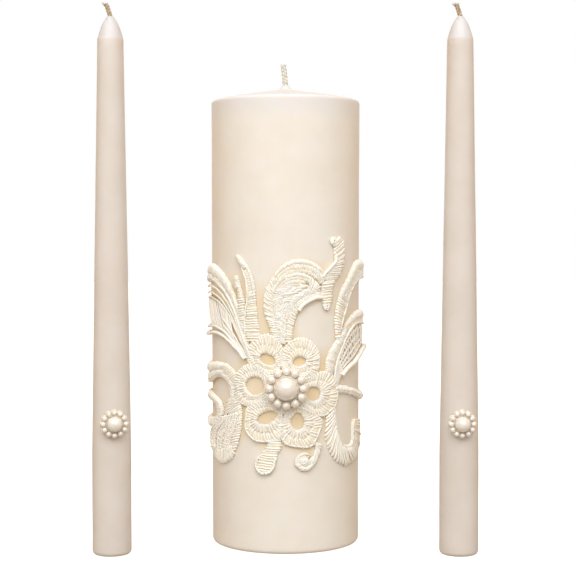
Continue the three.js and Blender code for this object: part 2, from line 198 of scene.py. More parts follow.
def linear(code, alpha=1.0):
    """An sRGB hex colour such as #f3e6d3, in linear light."""
    parts = [int(code[i:i + 2], 16) / 255 for i in (1, 3, 5)]
    return (*[p / 12.92 if p <= 0.04045 else ((p + 0.055) / 1.055) ** 2.4 for p in parts], alpha)


def laid_over(tree, colour, code, measure, start, stop, interpolation="LINEAR"):
    """Lays a colour over another, from none of it where measure is start to all of it at stop."""
    share = add_node(
        tree, "ShaderNodeMapRange", {"Value": measure, "From Min": start, "From Max": stop},
        interpolation_type=interpolation,
    )
    mixed = add_node(
        tree, "ShaderNodeMix", {0: share, 6: colour, 7: linear(code)}, data_type="RGBA"
    )
    return mixed.outputs[2]


# %% White tent
SIDE_WALL = "#d29c42"
FRONT_WALL = "#c6c5c4"
REAR_WALL = "#f6f2ec"
TABLE = "#b8aa9a"
bpy.context.scene.view_settings.view_transform = "Standard"
world = bpy.data.worlds.new("white_tent")
bpy.context.scene.world = world
world.use_nodes = True
tent = world.node_tree
tent.nodes.clear()
direction = add_node(tent, "ShaderNodeTexCoord")
facing = add_node(tent, "ShaderNodeSeparateXYZ", {0: direction.outputs["Generated"]})
back_or_low = add_node(
    tent, "ShaderNodeMath", {0: facing.outputs["Z"], 1: -0.7, 2: facing.outputs["Y"]},
    operation="MULTIPLY_ADD",
)
light = linear(SIDE_WALL)
for code, measure, start, stop in (
    (FRONT_WALL, back_or_low, 0.2, -0.68),
    (REAR_WALL, facing.outputs["Y"], 0.6, 0.95),
    (TABLE, facing.outputs["Z"], 0.1, -0.25),
):
    light = laid_over(tent, light, code, measure, start, stop, "SMOOTHSTEP")
tent_light = add_node(tent, "ShaderNodeBackground", {"Color": light})
backdrop = add_node(tent, "ShaderNodeBackground", {"Color": (1, 1, 1, 1)})
ray = add_node(tent, "ShaderNodeLightPath")
tent_or_backdrop = add_node(
    tent, "ShaderNodeMixShader",
    {0: ray.outputs["Is Camera Ray"], 1: tent_light, 2: backdrop},
)
add_node(tent, "ShaderNodeOutputWorld", {"Surface": tent_or_backdrop})
print("white tent:", len(tent.nodes), "nodes")

# %% Softbox
SOFTBOX_PLACE = Vector((-0.06, -1.25, 1.25))
SOFTBOX_AIM = Vector((0, 0, 0.12))
softbox = bpy.data.lights.new("overhead_softbox", "AREA")
softbox.shape = "RECTANGLE"
softbox.size, softbox.size_y = 2.2, 1.3
softbox.energy = 29
holder = bpy.data.objects.new("overhead_softbox", softbox)
holder.location = SOFTBOX_PLACE
holder.rotation_euler = (SOFTBOX_AIM - SOFTBOX_PLACE).to_track_quat("-Z", "Y").to_euler()
holder.visible_camera = False
bpy.context.scene.collection.objects.link(holder)
print(f"softbox: {softbox.size} by {softbox.size_y} m, {softbox.energy} W")

# %% [markdown]
# ## Finishes
# Every finish here is natural or lacquered by hand, so none of it is even. One function makes
# them all: the colour, the gloss and the relief each follow a noise whose lumps have a real
# size, on Object coordinates, and a few numbers say what the stuff is.

# %% One function for all finishes
def add_noise(tree, size_mm, detail, seed):
    """A noise whose lumps are about size_mm, on Object coordinates."""
    place = add_node(tree, "ShaderNodeTexCoord")
    moved = add_node(
        tree, "ShaderNodeMapping",
        {"Vector": place.outputs["Object"], "Location": (seed, seed, seed)},
    )
    return add_node(
        tree, "ShaderNodeTexNoise",
        {"Vector": moved, "Scale": 1 / (size_mm * MM), "Detail": detail},
    )


def new_finish(name, colours, tone, roughness, gloss, bump, relief, blend=(0.35, 0.65), layers=(),
               **values):
    """A material whose colour, gloss and relief each follow a noise.

    tone, gloss and relief are the noises: lump size in millimetres, detail and seed. bump is a
    depth in millimetres and a strength. Each layer is a colour laid over the rest, by a number
    on the mesh or, where that is None, by height in metres. values are the shader's own.
    """
    material = bpy.data.materials.new(name)
    material.use_nodes = True
    tree = material.node_tree
    shader = tree.nodes["Principled BSDF"]
    noises = {spec: add_noise(tree, *spec) for spec in dict.fromkeys((tone, gloss, relief))}
    ramp = add_node(tree, "ShaderNodeValToRGB", {"Fac": noises[tone]})
    for end, share, code in zip(ramp.color_ramp.elements, blend, colours):
        end.position = share
        end.color = linear(code)
    colour = ramp.outputs["Color"]
    for number, start, stop, code in layers:
        if number:
            measure = add_node(tree, "ShaderNodeAttribute", attribute_name=number).outputs["Fac"]
        else:
            place = add_node(tree, "ShaderNodeTexCoord").outputs["Object"]
            measure = add_node(tree, "ShaderNodeSeparateXYZ", {0: place}).outputs["Z"]
        colour = laid_over(tree, colour, code, measure, start, stop)
    rough = add_node(
        tree, "ShaderNodeMapRange",
        {"Value": noises[gloss], "From Min": 0.3, "From Max": 0.7, "To Min": roughness[0],
         "To Max": roughness[1]},
    )
    bumped = add_node(
        tree, "ShaderNodeBump",
        {"Height": noises[relief], "Distance": bump[0] * MM, "Strength": bump[1]},
    )
    tree.links.new(colour, shader.inputs["Base Color"])
    tree.links.new(rough.outputs[0], shader.inputs["Roughness"])
    tree.links.new(bumped.outputs[0], shader.inputs["Normal"])
    for key, value in values.items():
        shader.inputs[key.replace("_", " ")].default_value = value
    return material


# %% [markdown]
# ### Wax
# Both waxes are paraffin: light enters it, scatters a few millimetres, and comes out warmer. A
# volume inside the mesh could do that, but subsurface scattering looks the same and is quicker.
# The pillar is cast and smooth, with a faint mottle. Towards its rim and over its top it is
# painted a cooler grey-white: painted light, for how the overhead softbox falls there. Round and
# between the threads of the lace it is painted a deeper tan where a number on the mesh says so:
# painted shade from the lace. The tapers are dipped and polished, a little deeper in colour, and
# their tips are painted a cooler white: painted light, where they face the softbox.

# %% Wax
WAX_SKIN = (2.2, 5, 0.7)
WAX = {
    "tone": (14, 4, 0.3), "gloss": WAX_SKIN, "relief": WAX_SKIN, "bump": (0.05, 0.25),
    "IOR": 1.44, "Subsurface_Weight": 0.6, "Subsurface_Radius": (1.0, 0.75, 0.55),
    "Subsurface_Scale": 0.0025, "Coat_Weight": 0.08, "Coat_Roughness": 0.25,
}
# Painted light: from 208 mm up, over the rim's round and the top, the pillar's wax is painted a cooler
# grey-white for how the overhead softbox falls there.
PILLAR_WAX = new_finish(
    "cast_ivory_paraffin", ("#ece5da", "#efe9e0"), roughness=(0.36, 0.45),
    # Painted shade: a deeper tan laid over the wax where the lace covers and shades it.
    layers=[(None, 208 * MM, 219.5 * MM, "#e7e4e2"), ("painted_lace_shade", 0, 1, "#ead0a2")], **WAX,
)
TAPER_WAX = new_finish(
    "dipped_ivory_paraffin", ("#dcd3c9", "#e0d8d0"), roughness=(0.3, 0.39),
    # Painted light: the tip, from 245.7 mm up, is painted a cooler white where it faces the softbox.
    layers=[(None, 245.7 * MM, 246.9 * MM, "#dbd8d7")], **WAX,
)

# %% [markdown]
# ### Thread, pearl, plate, tin and glue
# The lace is guipure: rayon floss stitched over cotton cords, so it has a soft silky gloss.
# The pearls are lacquered beads, with a hard clear skin over a milky body. The brooch's plate
# is pressed, and pearly lacquer hides most of its metal. The sustainer at the foot is tinned
# steel, and the glue sets clear and yellowish. Noises as fine as floss or grain fit any shape,
# where an image of cloth or metal would need each piece unwrapped.

# %% Lace and wick thread
def thread_finish(name, colours, fibre_mm, roughness, sheen):
    """Spun thread: rough and ridged at the size of a fibre, with a soft sheen."""
    fibres = (fibre_mm, 3, 0.23)
    return new_finish(
        name, colours, tone=(1.6, 2, 0.11), roughness=(roughness - 0.08, roughness + 0.1),
        gloss=fibres, bump=(0.12, 0.5), relief=fibres, blend=(0.3, 0.7), IOR=1.53,
        Sheen_Weight=sheen, Sheen_Roughness=0.4, Subsurface_Weight=0.35,
        Subsurface_Radius=(1.0, 0.8, 0.6), Subsurface_Scale=0.0006,
    )


LACE_THREAD = thread_finish("rayon_floss", ("#fcf5e8", "#fffaf0"), 0.35, 0.45, 0.4)
# Painted shade: the cotton ground is deeper and warmer than the floss, for the shade in the gaps
# between stitches.
LACE_GROUND_SHADED = thread_finish("lace_ground_cotton", ("#f0e0c2", "#f7ebd2"), 0.5, 0.7, 0.15)
PILLAR_WICK = thread_finish("waxed_cotton_wick", ("#d6d0c4", "#e4dfd5"), 0.3, 0.55, 0.1)
TAPER_WICK = thread_finish("dry_cotton_wick", ("#ab9575", "#cfbd9f"), 0.3, 0.8, 0.2)

# %% Pearl and glue
MILK = (3, 3, 0.4)
PEARL = new_finish(
    "lacquered_pearl", ("#f0e7db", "#f9f3ea"), tone=MILK, roughness=(0.15, 0.24), gloss=MILK,
    bump=(0.05, 0.15), relief=(1.1, 2, 0.6), IOR=1.53, Metallic=0.1, Subsurface_Weight=0.25,
    Subsurface_Radius=(1.0, 0.75, 0.6), Subsurface_Scale=0.001, Coat_Weight=0.8,
    Coat_Roughness=0.05,
)
CLOUD = (2, 3, 0.5)
GLUE = new_finish(
    "set_clear_glue", ("#e6d7b8", "#f2e7d0"), tone=CLOUD, roughness=(0.18, 0.3), gloss=CLOUD,
    bump=(0.1, 0.5), relief=CLOUD, IOR=1.48, Subsurface_Weight=0.6,
    Subsurface_Radius=(1.0, 0.8, 0.5), Subsurface_Scale=0.0015,
)


# %% Plate and tinned steel
def metal_finish(name, colours, roughness, grain_mm, metallic):
    """Pressed sheet: one fine grain for its colour, its gloss and its relief."""
    grain = (grain_mm, 4, 0.9)
    return new_finish(
        name, colours, tone=grain, roughness=(roughness - 0.07, roughness + 0.09), gloss=grain,
        bump=(0.02, 0.4), relief=grain, Metallic=metallic,
    )


SETTING = metal_finish("pearl_lacquered_plate", ("#f7ecd9", "#fdf6e8"), 0.4, 0.8, 0.25)
STEEL = metal_finish("tinned_steel", ("#a9acb0", "#c3c6c9"), 0.36, 0.6, 1.0)
print("finishes:", [material.name for material in bpy.data.materials if material.users])

# %% [markdown]
# ## The pillar's wax
# A pillar is cast upside down in a metal mould, so its side is smooth, its rim is a soft round
# and its top slopes up to the wick. A lathe could be a Screw modifier. Here the outline is
# turned in code, because the same few points also cut the wick's bore and the sustainer's
# seat, and each point can then be moved a hair by a noise, as hand-finished wax is.

# %% Sizes from the frame
PILLAR_RIM_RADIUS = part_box("pillar_wax")[1].x / MM
PILLAR_RIM_HEIGHT = 220
PILLAR_PEAK_HEIGHT = 226.5
PILLAR_FOOT_RADIUS = PILLAR_RIM_RADIUS - 0.4
RIM_ROUND = 1.5
FOOT_ROUND = 2
TOP_SLOPE = (PILLAR_PEAK_HEIGHT - PILLAR_RIM_HEIGHT) / PILLAR_RIM_RADIUS
WOBBLE_GROWTH = 5
print(f"pillar: {2 * PILLAR_RIM_RADIUS:.1f} mm across, {PILLAR_PEAK_HEIGHT} mm to its peak")


def round_corner(radius, height, size, start, stop, steps=6):
    """Points of a corner's arc, in degrees from outwards to up."""
    angles = np.radians(np.linspace(start, stop, steps + 1))
    return [[radius + size * math.cos(a), height + size * math.sin(a)] for a in angles]


def straight(start, stop, steps):
    """Evenly spaced points after start, up to stop."""
    return [list(p) for p in np.linspace(start, stop, steps + 1)[1:]]


def wobble(mesh, size_mm, depth_mm, keep_below):
    """Moves each point of the wax along its normal by a smooth noise, but not its flat foot."""
    moves = []
    for vertex in mesh.vertices:
        part = min(1.0, max(0.0, (vertex.co.z / MM - keep_below) / WOBBLE_GROWTH))
        lump = noise.noise(vertex.co / (size_mm * MM))
        moves.append(vertex.co + vertex.normal * (lump * depth_mm * part * MM))
    for vertex, place in zip(mesh.vertices, moves):
        vertex.co = place
    mesh.update()


# %% Cast the pillar
def on_top(radius, lift=0.0):
    """A point of the outline on the sloping top, or a lift above it."""
    return [radius, PILLAR_PEAK_HEIGHT - radius * TOP_SLOPE + lift]


wick_collar = [
    [4.2, 0.05], [3, 0.3], [2.4, 0.75], [2.0, 1.35], [1.75, 1.85], [1.55, 2.0], [1.46, 1.7]
]
pillar_outline = [
    [10.3, 0.7],
    [10.3, 0.25],
    [10.6, 0],
    *round_corner(PILLAR_FOOT_RADIUS - FOOT_ROUND, FOOT_ROUND, FOOT_ROUND, -90, 0),
    *straight(
        [PILLAR_FOOT_RADIUS, FOOT_ROUND], [PILLAR_RIM_RADIUS, PILLAR_RIM_HEIGHT - RIM_ROUND], 150
    ),
    *round_corner(
        PILLAR_RIM_RADIUS - RIM_ROUND, PILLAR_RIM_HEIGHT - RIM_ROUND, RIM_ROUND, 15, 80
    ),
    *straight(on_top(33), on_top(6), 12),
    *[on_top(radius, lift) for radius, lift in wick_collar],
    [1.5, 222],
    [1.5, 6.3],
    [2.2, 6.3],
    [2.2, 0.7],
    [10.3, 0.7],
]
pillar_mesh = turned_mesh("pillar_wax_body", pillar_outline, 192)
wobble(pillar_mesh, 46, 0.16, keep_below=3)
wobble(pillar_mesh, 17, 0.05, keep_below=3)
finish_piece("pillar_wax_body", pillar_mesh, PILLAR_WAX, "pillar", ["pillar_wax"])

# %% [markdown]
# ## The tapers' wax
# A taper is dipped many times, so each one is a long even cone, closed at the butt, that ends
# in a small bullet where the wax runs off the wick. Both are turned from one outline, which
# keeps cone, shoulder and tip in one smooth skin, and set down where their CAD nodes stand.

# %% Where the tapers stand
TAPER_PLACES = {}
for side, turn in (("left", 14), ("right", 1)):
    low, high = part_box(f"{side}_taper_wax")
    x, y, _ = (low + high) / 2
    turned = Matrix.Rotation(math.radians(turn), 4, "Z")
    TAPER_PLACES[side] = Matrix.Translation((x, y, 0)) @ turned
    print(f"{side} taper stands at {x / MM:.1f}, {y / MM:.1f} mm, turned {turn} degrees")

# %% Dip the tapers
BUTT_RADIUS = 9.36
taper_outline = [
    [0, 0],
    *straight([0, 0], [6.9, 0], 3),
    *round_corner(BUTT_RADIUS - 2, 2, 2, -90, 0)[1:],
    *straight([BUTT_RADIUS, 2], [BUTT_RADIUS, 50], 14),
    *straight([BUTT_RADIUS, 50], [6.2, 245.6], 56),
    [6.12, 246.1], [5.98, 246.5], [5.64, 248], [5.28, 249.2], [4.88, 250.4], [4.44, 251.6],
    [3.94, 252.8], [3.36, 254], [2.76, 255], [2.14, 255.9], [1.68, 256.6], [1.48, 256.9],
    [1.3, 256.6], [1.5, 255], [1.5, 8], [0, 8],
]
for side, place in TAPER_PLACES.items():
    taper_mesh = turned_mesh(f"{side}_taper_wax_body", taper_outline, 96)
    wobble(taper_mesh, 30 if side == "left" else 27, 0.09, keep_below=4)
    wobble(taper_mesh, 9 if side == "left" else 8, 0.035, keep_below=4)
    taper_mesh.transform(place)
    finish_piece(
        f"{side}_taper_wax_body", taper_mesh, TAPER_WAX, f"{side}_taper",
        [f"{side}_taper_wax"],
    )

# %% [markdown]
# ## Geometry Nodes trees
# Stitches, cords and wick strands are all thread that follows a line, so Geometry Nodes make
# them. Each tree starts from a guide, a mesh of bare edges with a few numbers on its points,
# and ends in Realize Instances and Set Material. The evaluated result becomes a plain mesh and
# the guide is thrown away, so nothing live is left on a finished piece.

# %% Tree helpers
def new_tree(name, **sizes):
    """A tree with a Geometry input, a named input for each size, by kind, and a Finish input."""
    tree = bpy.data.node_groups.new(name, "GeometryNodeTree")
    kinds = {"Geometry": ["Geometry"], **sizes, "Material": ["Finish"]}
    for kind, labels in kinds.items():
        for label in labels:
            tree.interface.new_socket(label, in_out="INPUT", socket_type="NodeSocket" + kind)
    tree.interface.new_socket("Geometry", in_out="OUTPUT", socket_type="NodeSocketGeometry")
    return tree, tree.nodes.new("NodeGroupInput").outputs


def end_tree(tree, geometry, finish):
    """Ends the tree in shading, Realize Instances and Set Material."""
    smooth = add_node(tree, "GeometryNodeSetShadeSmooth", {"Geometry": geometry})
    real = add_node(tree, "GeometryNodeRealizeInstances", {"Geometry": smooth})
    painted = add_node(tree, "GeometryNodeSetMaterial", {"Geometry": real, "Material": finish})
    add_node(tree, "NodeGroupOutput", {0: painted})
    print(f"{tree.name} tree: {len(tree.nodes)} nodes")


def grown(name, guide, tree, finish, **sizes):
    """Runs a tree on a guide mesh and returns the plain mesh that it makes."""
    holder = add_object(name + "_guide", guide)
    modifier = holder.modifiers.new("grow", "NODES")
    modifier.node_group = tree
    values = {key.replace("_", " "): value for key, value in sizes.items()}
    values["Finish"] = finish
    for item in tree.interface.items_tree:
        if item.in_out == "INPUT" and item.name in values:
            modifier[item.identifier] = values.pop(item.name)
    assert not values, f"the tree has no input named {list(values)}"
    depsgraph = bpy.context.evaluated_depsgraph_get()
    mesh = bpy.data.meshes.new_from_object(holder.evaluated_get(depsgraph))
    mesh.name = name
    bpy.data.objects.remove(holder)
    return mesh


def guide_lines(name, lines, **numbers):
    """A mesh of bare edges, one chain for each line, with numbers on its points."""
    points = np.concatenate([np.asarray(line, float) for line in lines])
    edges = []
    start = 0
    for line in lines:
        edges.extend([i, i + 1] for i in range(start, start + len(line) - 1))
        start += len(line)
    mesh = bpy.data.meshes.new(name)
    mesh.from_pydata((points * MM).tolist(), edges, [])
    for key, values in numbers.items():
        attribute = mesh.attributes.new(key, "FLOAT", "POINT")
        flat = np.concatenate([np.broadcast_to(v, len(l)) for v, l in zip(values, lines)])
        attribute.data.foreach_set("value", flat.astype(np.float32))
    return mesh


# %% [markdown]
# ### Thread that lies on the candle
# The guide lies on the wax. The tree lifts each point straight out from the candle's axis by
# its "height", shifts it a little by a noise so no two stitches match, and sweeps a round
# section along it. A cord is the same thread with beads: its radius swells once each pitch,
# as the loops of a bound edge do.

# %% Tree: lace thread
thread_tree, wanted = new_tree(
    "lace thread",
    Float=["Thread Radius", "Bead Depth", "Bead Pitch", "Wander", "Wander Size", "Height Spread"],
    Int=["Sides", "Seed"],
)
height, stitch, girth = (
    add_node(thread_tree, "GeometryNodeInputNamedAttribute", {"Name": key}, data_type="FLOAT")
    for key in ("height", "stitch", "girth")
)
place = add_node(thread_tree, "GeometryNodeInputPosition")
flat_place = add_node(
    thread_tree, "ShaderNodeVectorMath", {0: place, 1: (1, 1, 0)}, operation="MULTIPLY"
)
outward = add_node(thread_tree, "ShaderNodeVectorMath", {0: flat_place}, operation="NORMALIZE")
stitch_number = add_node(thread_tree, "FunctionNodeFloatToInt", {0: stitch})
spread = add_node(
    thread_tree, "FunctionNodeRandomValue",
    {2: -1.0, 3: 1.0, "ID": stitch_number, "Seed": wanted["Seed"]}, data_type="FLOAT",
)
rise = spread.outputs[1]
for operation, other in (("MULTIPLY", wanted["Height Spread"]), ("ADD", 1.0), ("MULTIPLY", height)):
    rise = add_node(thread_tree, "ShaderNodeMath", {0: rise, 1: other}, operation=operation)
lift = add_node(
    thread_tree, "ShaderNodeVectorMath", {0: outward, "Scale": rise}, operation="SCALE"
)
wander_scale = add_node(
    thread_tree, "ShaderNodeMath", {0: 1.0, 1: wanted["Wander Size"]}, operation="DIVIDE"
)
shake = add_node(
    thread_tree, "ShaderNodeTexNoise", {"Vector": place, "Scale": wander_scale, "Detail": 1.0}
)
centred = add_node(
    thread_tree, "ShaderNodeVectorMath", {0: shake.outputs["Color"], 1: (0.5, 0.5, 0.5)},
    operation="SUBTRACT",
)
shaken = add_node(
    thread_tree, "ShaderNodeVectorMath", {0: centred, "Scale": wanted["Wander"]},
    operation="SCALE",
)
offset = add_node(thread_tree, "ShaderNodeVectorMath", {0: lift, 1: shaken}, operation="ADD")
lifted = add_node(
    thread_tree, "GeometryNodeSetPosition", {"Geometry": wanted["Geometry"], "Offset": offset}
)
line = add_node(thread_tree, "GeometryNodeMeshToCurve", {"Mesh": lifted})
along = add_node(thread_tree, "GeometryNodeSplineParameter")
swell = along.outputs["Length"]
for operation, other in (
    ("DIVIDE", wanted["Bead Pitch"]), ("MULTIPLY", math.pi), ("SINE", 0.0), ("ABSOLUTE", 0.0),
    ("MULTIPLY", wanted["Bead Depth"]), ("ADD", 1.0), ("MULTIPLY", girth),
):
    swell = add_node(thread_tree, "ShaderNodeMath", {0: swell, 1: other}, operation=operation)
section = add_node(
    thread_tree, "GeometryNodeCurvePrimitiveCircle",
    {"Resolution": wanted["Sides"], "Radius": wanted["Thread Radius"]},
)
thread = add_node(
    thread_tree, "GeometryNodeCurveToMesh",
    {"Curve": line, "Profile Curve": section, "Scale": swell, "Fill Caps": True},
)
end_tree(thread_tree, thread, wanted["Finish"])

# %% [markdown]
# ### A plaited wick
# A candle's wick is plaited from three strands, each made of cotton yarn. On the way up, a
# strand swings from side to side once in each pitch and dips behind its neighbours twice, and
# the three are a third of a pitch apart. Tubes could be bent by hand, but a sine for each keeps
# the plait even along any path.

# %% Tree: plaited strands
plait_tree, wanted = new_tree(
    "plaited strands", Float=["Strand Radius", "Plait Width", "Plait Depth", "Plait Pitch", "Step"]
)
line = add_node(plait_tree, "GeometryNodeMeshToCurve", {"Mesh": wanted["Geometry"]})
even = add_node(
    plait_tree, "GeometryNodeResampleCurve", {"Curve": line, "Length": wanted["Step"]},
    mode="LENGTH",
)
along = add_node(plait_tree, "GeometryNodeSplineParameter")
strand = add_node(
    plait_tree, "GeometryNodeInputNamedAttribute", {"Name": "strand"}, data_type="FLOAT"
)
third = add_node(plait_tree, "ShaderNodeMath", {0: strand, 1: 3.0}, operation="DIVIDE")
phase = along.outputs["Length"]
for operation, other in (
    ("DIVIDE", wanted["Plait Pitch"]), ("ADD", third), ("MULTIPLY", 2 * math.pi),
):
    phase = add_node(plait_tree, "ShaderNodeMath", {0: phase, 1: other}, operation=operation)
swings = {}
for axis, rate, reach in (("X", 1.0, "Plait Width"), ("Y", 2.0, "Plait Depth")):
    swings[axis] = phase
    for operation, other in (("MULTIPLY", rate), ("SINE", 0.0), ("MULTIPLY", wanted[reach])):
        swings[axis] = add_node(
            plait_tree, "ShaderNodeMath", {0: swings[axis], 1: other}, operation=operation
        )
swing = add_node(plait_tree, "ShaderNodeCombineXYZ", swings)
swung = add_node(plait_tree, "GeometryNodeSetPosition", {"Geometry": even, "Offset": swing})
section = add_node(
    plait_tree, "GeometryNodeCurvePrimitiveCircle",
    {"Resolution": 8, "Radius": wanted["Strand Radius"]},
)
strands = add_node(
    plait_tree, "GeometryNodeCurveToMesh",
    {"Curve": swung, "Profile Curve": section, "Scale": 1.0, "Fill Caps": True},
)
end_tree(plait_tree, strands, wanted["Finish"])

# %% [markdown]
# ### A ring of like parts
# The brooch repeats its beads, cups and studs a dozen times round a circle. The tree takes one
# part, modelled at the origin and facing up, and sets a copy at each point of the circle,
# turned to face outwards. An Array modifier could do it, with an empty to turn it, but here the
# count, the radius and the first angle are named inputs.

# %% Tree: ring of parts
ring_tree, wanted = new_tree("ring of parts", Int=["Count"], Float=["Ring Radius", "First Angle"])
circle = add_node(
    ring_tree, "GeometryNodeMeshCircle",
    {"Vertices": wanted["Count"], "Radius": wanted["Ring Radius"]},
)
number = add_node(ring_tree, "GeometryNodeInputIndex")
step = add_node(
    ring_tree, "ShaderNodeMath", {0: 2 * math.pi, 1: wanted["Count"]}, operation="DIVIDE"
)
angle = add_node(ring_tree, "ShaderNodeMath", {0: number, 1: step}, operation="MULTIPLY")
turn = add_node(ring_tree, "ShaderNodeCombineXYZ", {"Z": angle})
facing_out = add_node(ring_tree, "FunctionNodeEulerToRotation", {0: turn})
copies = add_node(
    ring_tree, "GeometryNodeInstanceOnPoints",
    {"Points": circle, "Instance": wanted["Geometry"], "Rotation": facing_out},
)
start = add_node(ring_tree, "ShaderNodeCombineXYZ", {"Z": wanted["First Angle"]})
turned = add_node(
    ring_tree, "GeometryNodeTransform", {"Geometry": copies, "Rotation": start}
)
end_tree(ring_tree, turned, wanted["Finish"])

# %% [markdown]
# ## Wicks
# Each wick runs from near the foot to its free end, which leans left. Its cut end frays into
# single cotton fibres, made by the lace's own tree with a thinner thread. The pillar's wick is
# soaked in wax and pale. The tapers' wicks are dry and browner.

# %% Plait the wicks
chance = np.random.default_rng(7)


def wick_path(foot, wax_top, stub, lean, step=1.0):
    """Points up the wick: straight in the wax, then leaning to the left."""
    heights = np.arange(foot, wax_top + stub, step)
    free = np.clip((heights - wax_top) / stub, 0, 1)
    return np.column_stack([-lean * free**1.2, np.zeros(len(heights)), heights])


def frayed_fibres(tip, lean, count, reach):
    """Short fibres that start in the cut end and curl out and up."""
    lines = []
    for _ in range(count):
        angle = chance.uniform(0, 2 * math.pi)
        way = np.array([math.cos(angle), 0.6 * math.sin(angle), 0])
        start = tip + way * chance.uniform(0.2, 0.95) - [0, 0, 0.8]
        length = chance.uniform(0.55, 1.0) * reach
        splay = chance.uniform(0.1, 0.95)
        steps = np.linspace(0, 1, 5)[:, None]
        rise = np.array([-0.25 * lean, 0, 1.0])
        lines.append(start + (rise * steps + way * splay * steps**1.6) * length)
    return lines


def wick_mesh(name, path, lean, finish, size=1.0):
    """A plait along the path with a frayed tuft at its end. size widens the plait."""
    strands = grown(
        name + "_strands",
        guide_lines(name + "_lines", [path] * 3, strand=[0, 1, 2]),
        plait_tree, finish, Strand_Radius=0.5 * size * MM, Plait_Width=0.7 * size * MM,
        Plait_Depth=0.42 * size * MM, Plait_Pitch=4.4 * size * MM, Step=0.4 * MM,
    )
    fibres = frayed_fibres(path[-1], lean, count=34, reach=2.0)
    tuft = grown(
        name + "_tuft",
        guide_lines(
            name + "_fibres", fibres, height=[0] * len(fibres), stitch=range(len(fibres)),
            girth=[np.linspace(1.2, 0.5, 5)] * len(fibres),
        ),
        thread_tree, finish, Thread_Radius=0.11 * MM, Bead_Depth=0.0, Bead_Pitch=1.0, Wander=0.5 * MM,
        Wander_Size=0.8 * MM, Height_Spread=0.0, Sides=5, Seed=3,
    )
    return joined_mesh(name, [strands, tuft])


pillar_path = wick_path(foot=0.7, wax_top=PILLAR_PEAK_HEIGHT, stub=12.0, lean=1.0)
finish_piece(
    "pillar_wick_plait", wick_mesh("pillar_wick_plait", pillar_path, 1, PILLAR_WICK, 1.2), PILLAR_WICK,
    "pillar", ["pillar_wick"],
)
for side, place in TAPER_PLACES.items():
    path = wick_path(foot=8.3, wax_top=256.5, stub=6.6, lean=2.1)
    mesh = wick_mesh(f"{side}_taper_wick_plait", path, 2, TAPER_WICK)
    mesh.transform(place)
    finish_piece(
        f"{side}_taper_wick_plait", mesh, TAPER_WICK, f"{side}_taper",
        [f"{side}_taper_wick"],
    )

# %% [markdown]
# ## Wick sustainer
# A tinned steel disc at the foot holds the wick upright while the wax sets. It is pressed from
# thin sheet, with a rolled edge, a shallow ring for stiffness and a short neck that is crimped
# on to the wick. All of it is round, so one turned outline makes both its faces.

# %% Press the sustainer
sustainer_outline = [
    [0, 0.05], [3, 0.05],
    *round_corner(9.75, 0.25, 0.2, -90, 90, steps=8),
    [8.6, 0.45], [8.1, 0.6], [7.5, 0.62], [6.9, 0.6], [6.4, 0.45],
    [2.6, 0.42], [2.1, 0.5], [1.9, 0.8], [1.9, 3.2], [1.75, 3.7], [1.75, 4.5], [1.9, 5],
    [1.9, 5.8], [1.7, 6], [1.5, 5.8], [1.5, 0.42], [0, 0.42],
]
finish_piece(
    "sustainer_disc", turned_mesh("sustainer_disc", sustainer_outline, 96), STEEL, "pillar",
    ["wick_sustainer"],
)

# %% [markdown]
# ## The lace pattern
# The lace is one motif for the front and its mirror image for the back: six petals round a
# pearl brooch, with leaves and scrolls that reach to the candle's sides. It is drawn flat,
# as an embroiderer's card is, in millimetres: the distance round the candle, then the height.
# It could be sculpted, but a card can be read, corrected and turned into single threads.
# Each band is the strip between two edges, and a recipe says how it is stitched. Across a band,
# "satin" is close thread over a padded ridge, "rungs" are open stitches on a ground, "fine" and
# "bold" are closer and coarser ones, and "bars" and "spokes" cross open work with no ground.
# Along it, "cord" is a smooth cord, "beaded" a knobbly bound edge, and "line" a cord that lies
# low. A "knot" is a small coil, and a "floor" is a low sheet of the ground's tan, laid between
# cords as painted shade in the gaps.

# %% Pattern card
LACE_RADIUS = 38.2
SEAM = 60.3
FLOWER_EYE = (0.5, 80.2)
PETALS = [
    {"at": [6.8, 92.6], "eye": [3.5, 2.4], "tilt": 8,
     "reach": [10.4, 11.2, 11, 11.4, 10.6, 9.6, 8.3, 7.8, 8.6, 8.1, 8.8, 10.6]},
    {"at": [14, 77], "eye": [3.9, 3.5], "tilt": 0,
     "reach": [14.5, 14.2, 12.4, 9.3, 9, 8.5, 8, 7.5, 8.1, 10.4, 12.5, 14.2]},
    {"at": [6, 64], "eye": [3.4, 4.2], "tilt": 0,
     "reach": [12.8, 8, 7, 7.3, 7.4, 6.9, 7.5, 10.4, 12.4, 12.4, 14.2, 12.6]},
    {"at": [-9, 65.8], "eye": [5.5, 2.9], "tilt": 22,
     "reach": [7.5, 8, 7.9, 7.7, 8.9, 11.5, 11.5, 13.2, 13, 11.9, 12.1, 10]},
    {"at": [-15.3, 80.7], "eye": [5.1, 4.5], "tilt": -10,
     "reach": [8.3, 9, 9.6, 10.3, 11, 11.8, 12.5, 12.3, 11, 8.7, 8.7, 8.4]},
    {"at": [-8.7, 93.4], "eye": [4.3, 2.6], "tilt": -20,
     "reach": [7.5, 8.9, 10.8, 12.2, 12.2, 11.7, 10.8, 7.9, 6.7, 6.7, 7.4, 7.2]},
]
